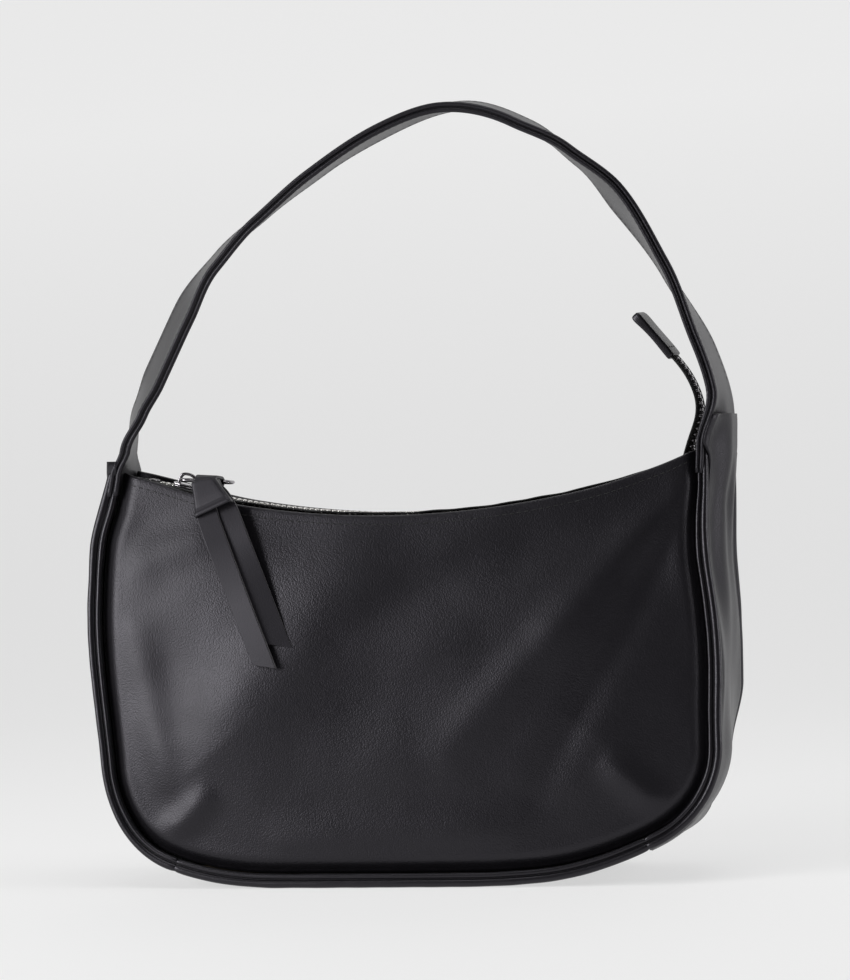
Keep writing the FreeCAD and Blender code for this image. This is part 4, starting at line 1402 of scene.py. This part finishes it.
class BAG_OT_strap(bpy.types.Operator):
    """Shoulder strap: two leathers, core and edge stitching"""
    bl_idname = "bag.strap"
    bl_label = "Strap"

    def execute(self, context):
        frames = strap_frames()
        half = SIZES.strap_half
        foot = ("bag", "strap", (0, 0, 0.199), (0, 0, 0.238))
        layers = {
            "strap_outer_leather": (strap_layer(0.25, 2.45, half), ["strap_outer"]),
            "strap_inner_leather": (strap_layer(-2.45, -0.25, half), ["strap_inner"]),
        }
        for name, (profile, nodes) in layers.items():
            shape = narrowed(profile, len(frames) - 1, half)
            piece(swept(frames, shape), name, FINISH["strap"], None, nodes, foot)
        shape = narrowed(rounded_bar(half - 4.5, 0.3, 0.2, 1), len(frames) - 1, half)
        piece(swept(frames, shape), "strap_core_board", FINISH["board"], None,
              ["strap_core"], foot)
        for edge, word in ((-1, "front"), (1, "back")):
            bar_shape = [(a + edge * (half - 2.7), b) for a, b in rounded_bar(1.6, 0.7, 0.4, 2)]
            shape = narrowed(bar_shape, len(frames) - 1, half)
            piece(swept(frames, shape), "strap_%s_fold" % word, FINISH["rolled"], None,
                  ["strap_%s_edge" % word], foot)
        rows = []
        sewn = frames[16:-16]
        for edge in (-1, 1):
            for way in (-1, 1):
                points = [o + a * (edge * (half - 2.9)) + u * (way * 2.15) for o, a, u in sewn]
                rows.append(stitch_row(points, [u * way for _, _, u in sewn]))
        piece(joined(rows), "strap_stitching", FINISH["thread"], None, (), foot)
        return {"FINISHED"}


# ---------------------------------------------------------------- stage

class BAG_OT_stage(bpy.types.Operator):
    """Backdrop, soft lights and camera"""
    bl_idname = "bag.stage"
    bl_label = "Stage"

    def execute(self, context):
        self.backdrop()
        self.lights()
        self.camera()
        return {"FINISHED"}

    def backdrop(self):
        """A wide sweep that curves up behind the bag."""
        bm = bmesh.new()
        bmesh.ops.create_grid(bm, x_segments=2, y_segments=60, size=1.0)
        radius, back = 3.0, 0.9
        for vert in bm.verts:
            share = (vert.co.y + 1) / 2
            run = share * 9.0 - 0.95
            turn = min(max((run - back) / radius, 0.0), math.pi / 2)
            rest = max(run - back - radius * math.pi / 2, 0.0)
            vert.co = Vector((vert.co.x * 6, min(run, back) + radius * math.sin(turn),
                              radius * (1 - math.cos(turn)) + rest))
        mesh = bpy.data.meshes.new("paper_roll")
        bm.to_mesh(mesh)
        bm.free()
        mesh.shade_smooth()
        floor = bpy.data.objects.new("paper_roll", mesh)
        bpy.context.scene.collection.objects.link(floor)
        mesh.materials.append(FINISH["floor"])

    def lights(self):
        """Three soft panels and a faint surround."""
        spots = [
            # name, place, size, power, aimed at
            ("key_left", (-1.2, -1.0, 0.55), (0.8, 0.8), 21.0, (-0.05, 0.0, 0.10)),
            ("side_right", (1.5, -0.1, 0.5), (0.5, 1.2), 11.0, (0.1, 0.0, 0.12)),
            ("top", (0.15, -0.25, 1.7), (1.3, 0.6), 10.0, (0.0, 0.0, 0.1)),
        ]
        for name, place, (wide, high), power, aim in spots:
            data = bpy.data.lights.new(name, "AREA")
            data.shape = "RECTANGLE"
            data.size, data.size_y = wide, high
            data.energy = power
            lamp = bpy.data.objects.new(name, data)
            bpy.context.scene.collection.objects.link(lamp)
            lamp.location = place
            lamp.rotation_euler = (Vector(aim) - Vector(place)).to_track_quat("-Z", "Y").to_euler()
        world = bpy.data.worlds.new("studio")
        bpy.context.scene.world = world
        world.use_nodes = True
        world.node_tree.nodes["Background"].inputs["Color"].default_value = (1, 1, 1, 1)
        world.node_tree.nodes["Background"].inputs["Strength"].default_value = 0.07
        bpy.context.scene.view_settings.view_transform = "Standard"

    def camera(self):
        """A long lens, a little to the bag's right and level with its middle."""
        data = bpy.data.cameras.new("camera")
        data.lens, data.sensor_width = 117.2, 36.0
        camera = bpy.data.objects.new("camera", data)
        bpy.context.scene.collection.objects.link(camera)
        bpy.context.scene.camera = camera
        azimuth, roll = math.radians(15.0), math.radians(2.3)
        camera.location = (0.392, -1.449, 0.1813)
        way = Vector((-math.sin(azimuth), math.cos(azimuth), 0))
        level = way.to_track_quat("-Z", "Y")
        camera.rotation_mode = "QUATERNION"
        camera.rotation_quaternion = level @ Quaternion((0, 0, 1), -roll)


# ---------------------------------------------------------------- panel and registration

STEPS = ["finishes", "panels", "edges", "inside", "zip", "slider", "pull", "tail", "strap", "stage"]


class BAG_PT_panel(bpy.types.Panel):
    """Lists the pieces that can be made"""
    bl_label = "Hobo bag"
    bl_idname = "BAG_PT_panel"
    bl_space_type = "VIEW_3D"
    bl_region_type = "UI"
    bl_category = "Bag"

    def draw(self, context):
        for step in STEPS:
            self.layout.operator("bag." + step)


CLASSES = (BagSizes, BagColours, BAG_OT_finishes, BAG_OT_panels, BAG_OT_edges, BAG_OT_inside,
           BAG_OT_zip, BAG_OT_slider, BAG_OT_pull, BAG_OT_tail, BAG_OT_strap, BAG_OT_stage,
           BAG_PT_panel)


def register():
    for item in CLASSES:
        bpy.utils.register_class(item)
    bpy.types.Scene.bag_sizes = PointerProperty(type=BagSizes)
    bpy.types.Scene.bag_colours = PointerProperty(type=BagColours)


def unregister():
    del bpy.types.Scene.bag_colours
    del bpy.types.Scene.bag_sizes
    for item in reversed(CLASSES):
        bpy.utils.unregister_class(item)


def main():
    register()
    for step in STEPS:
        getattr(bpy.ops.bag, step)()


if __name__ == "__main__":
    main()
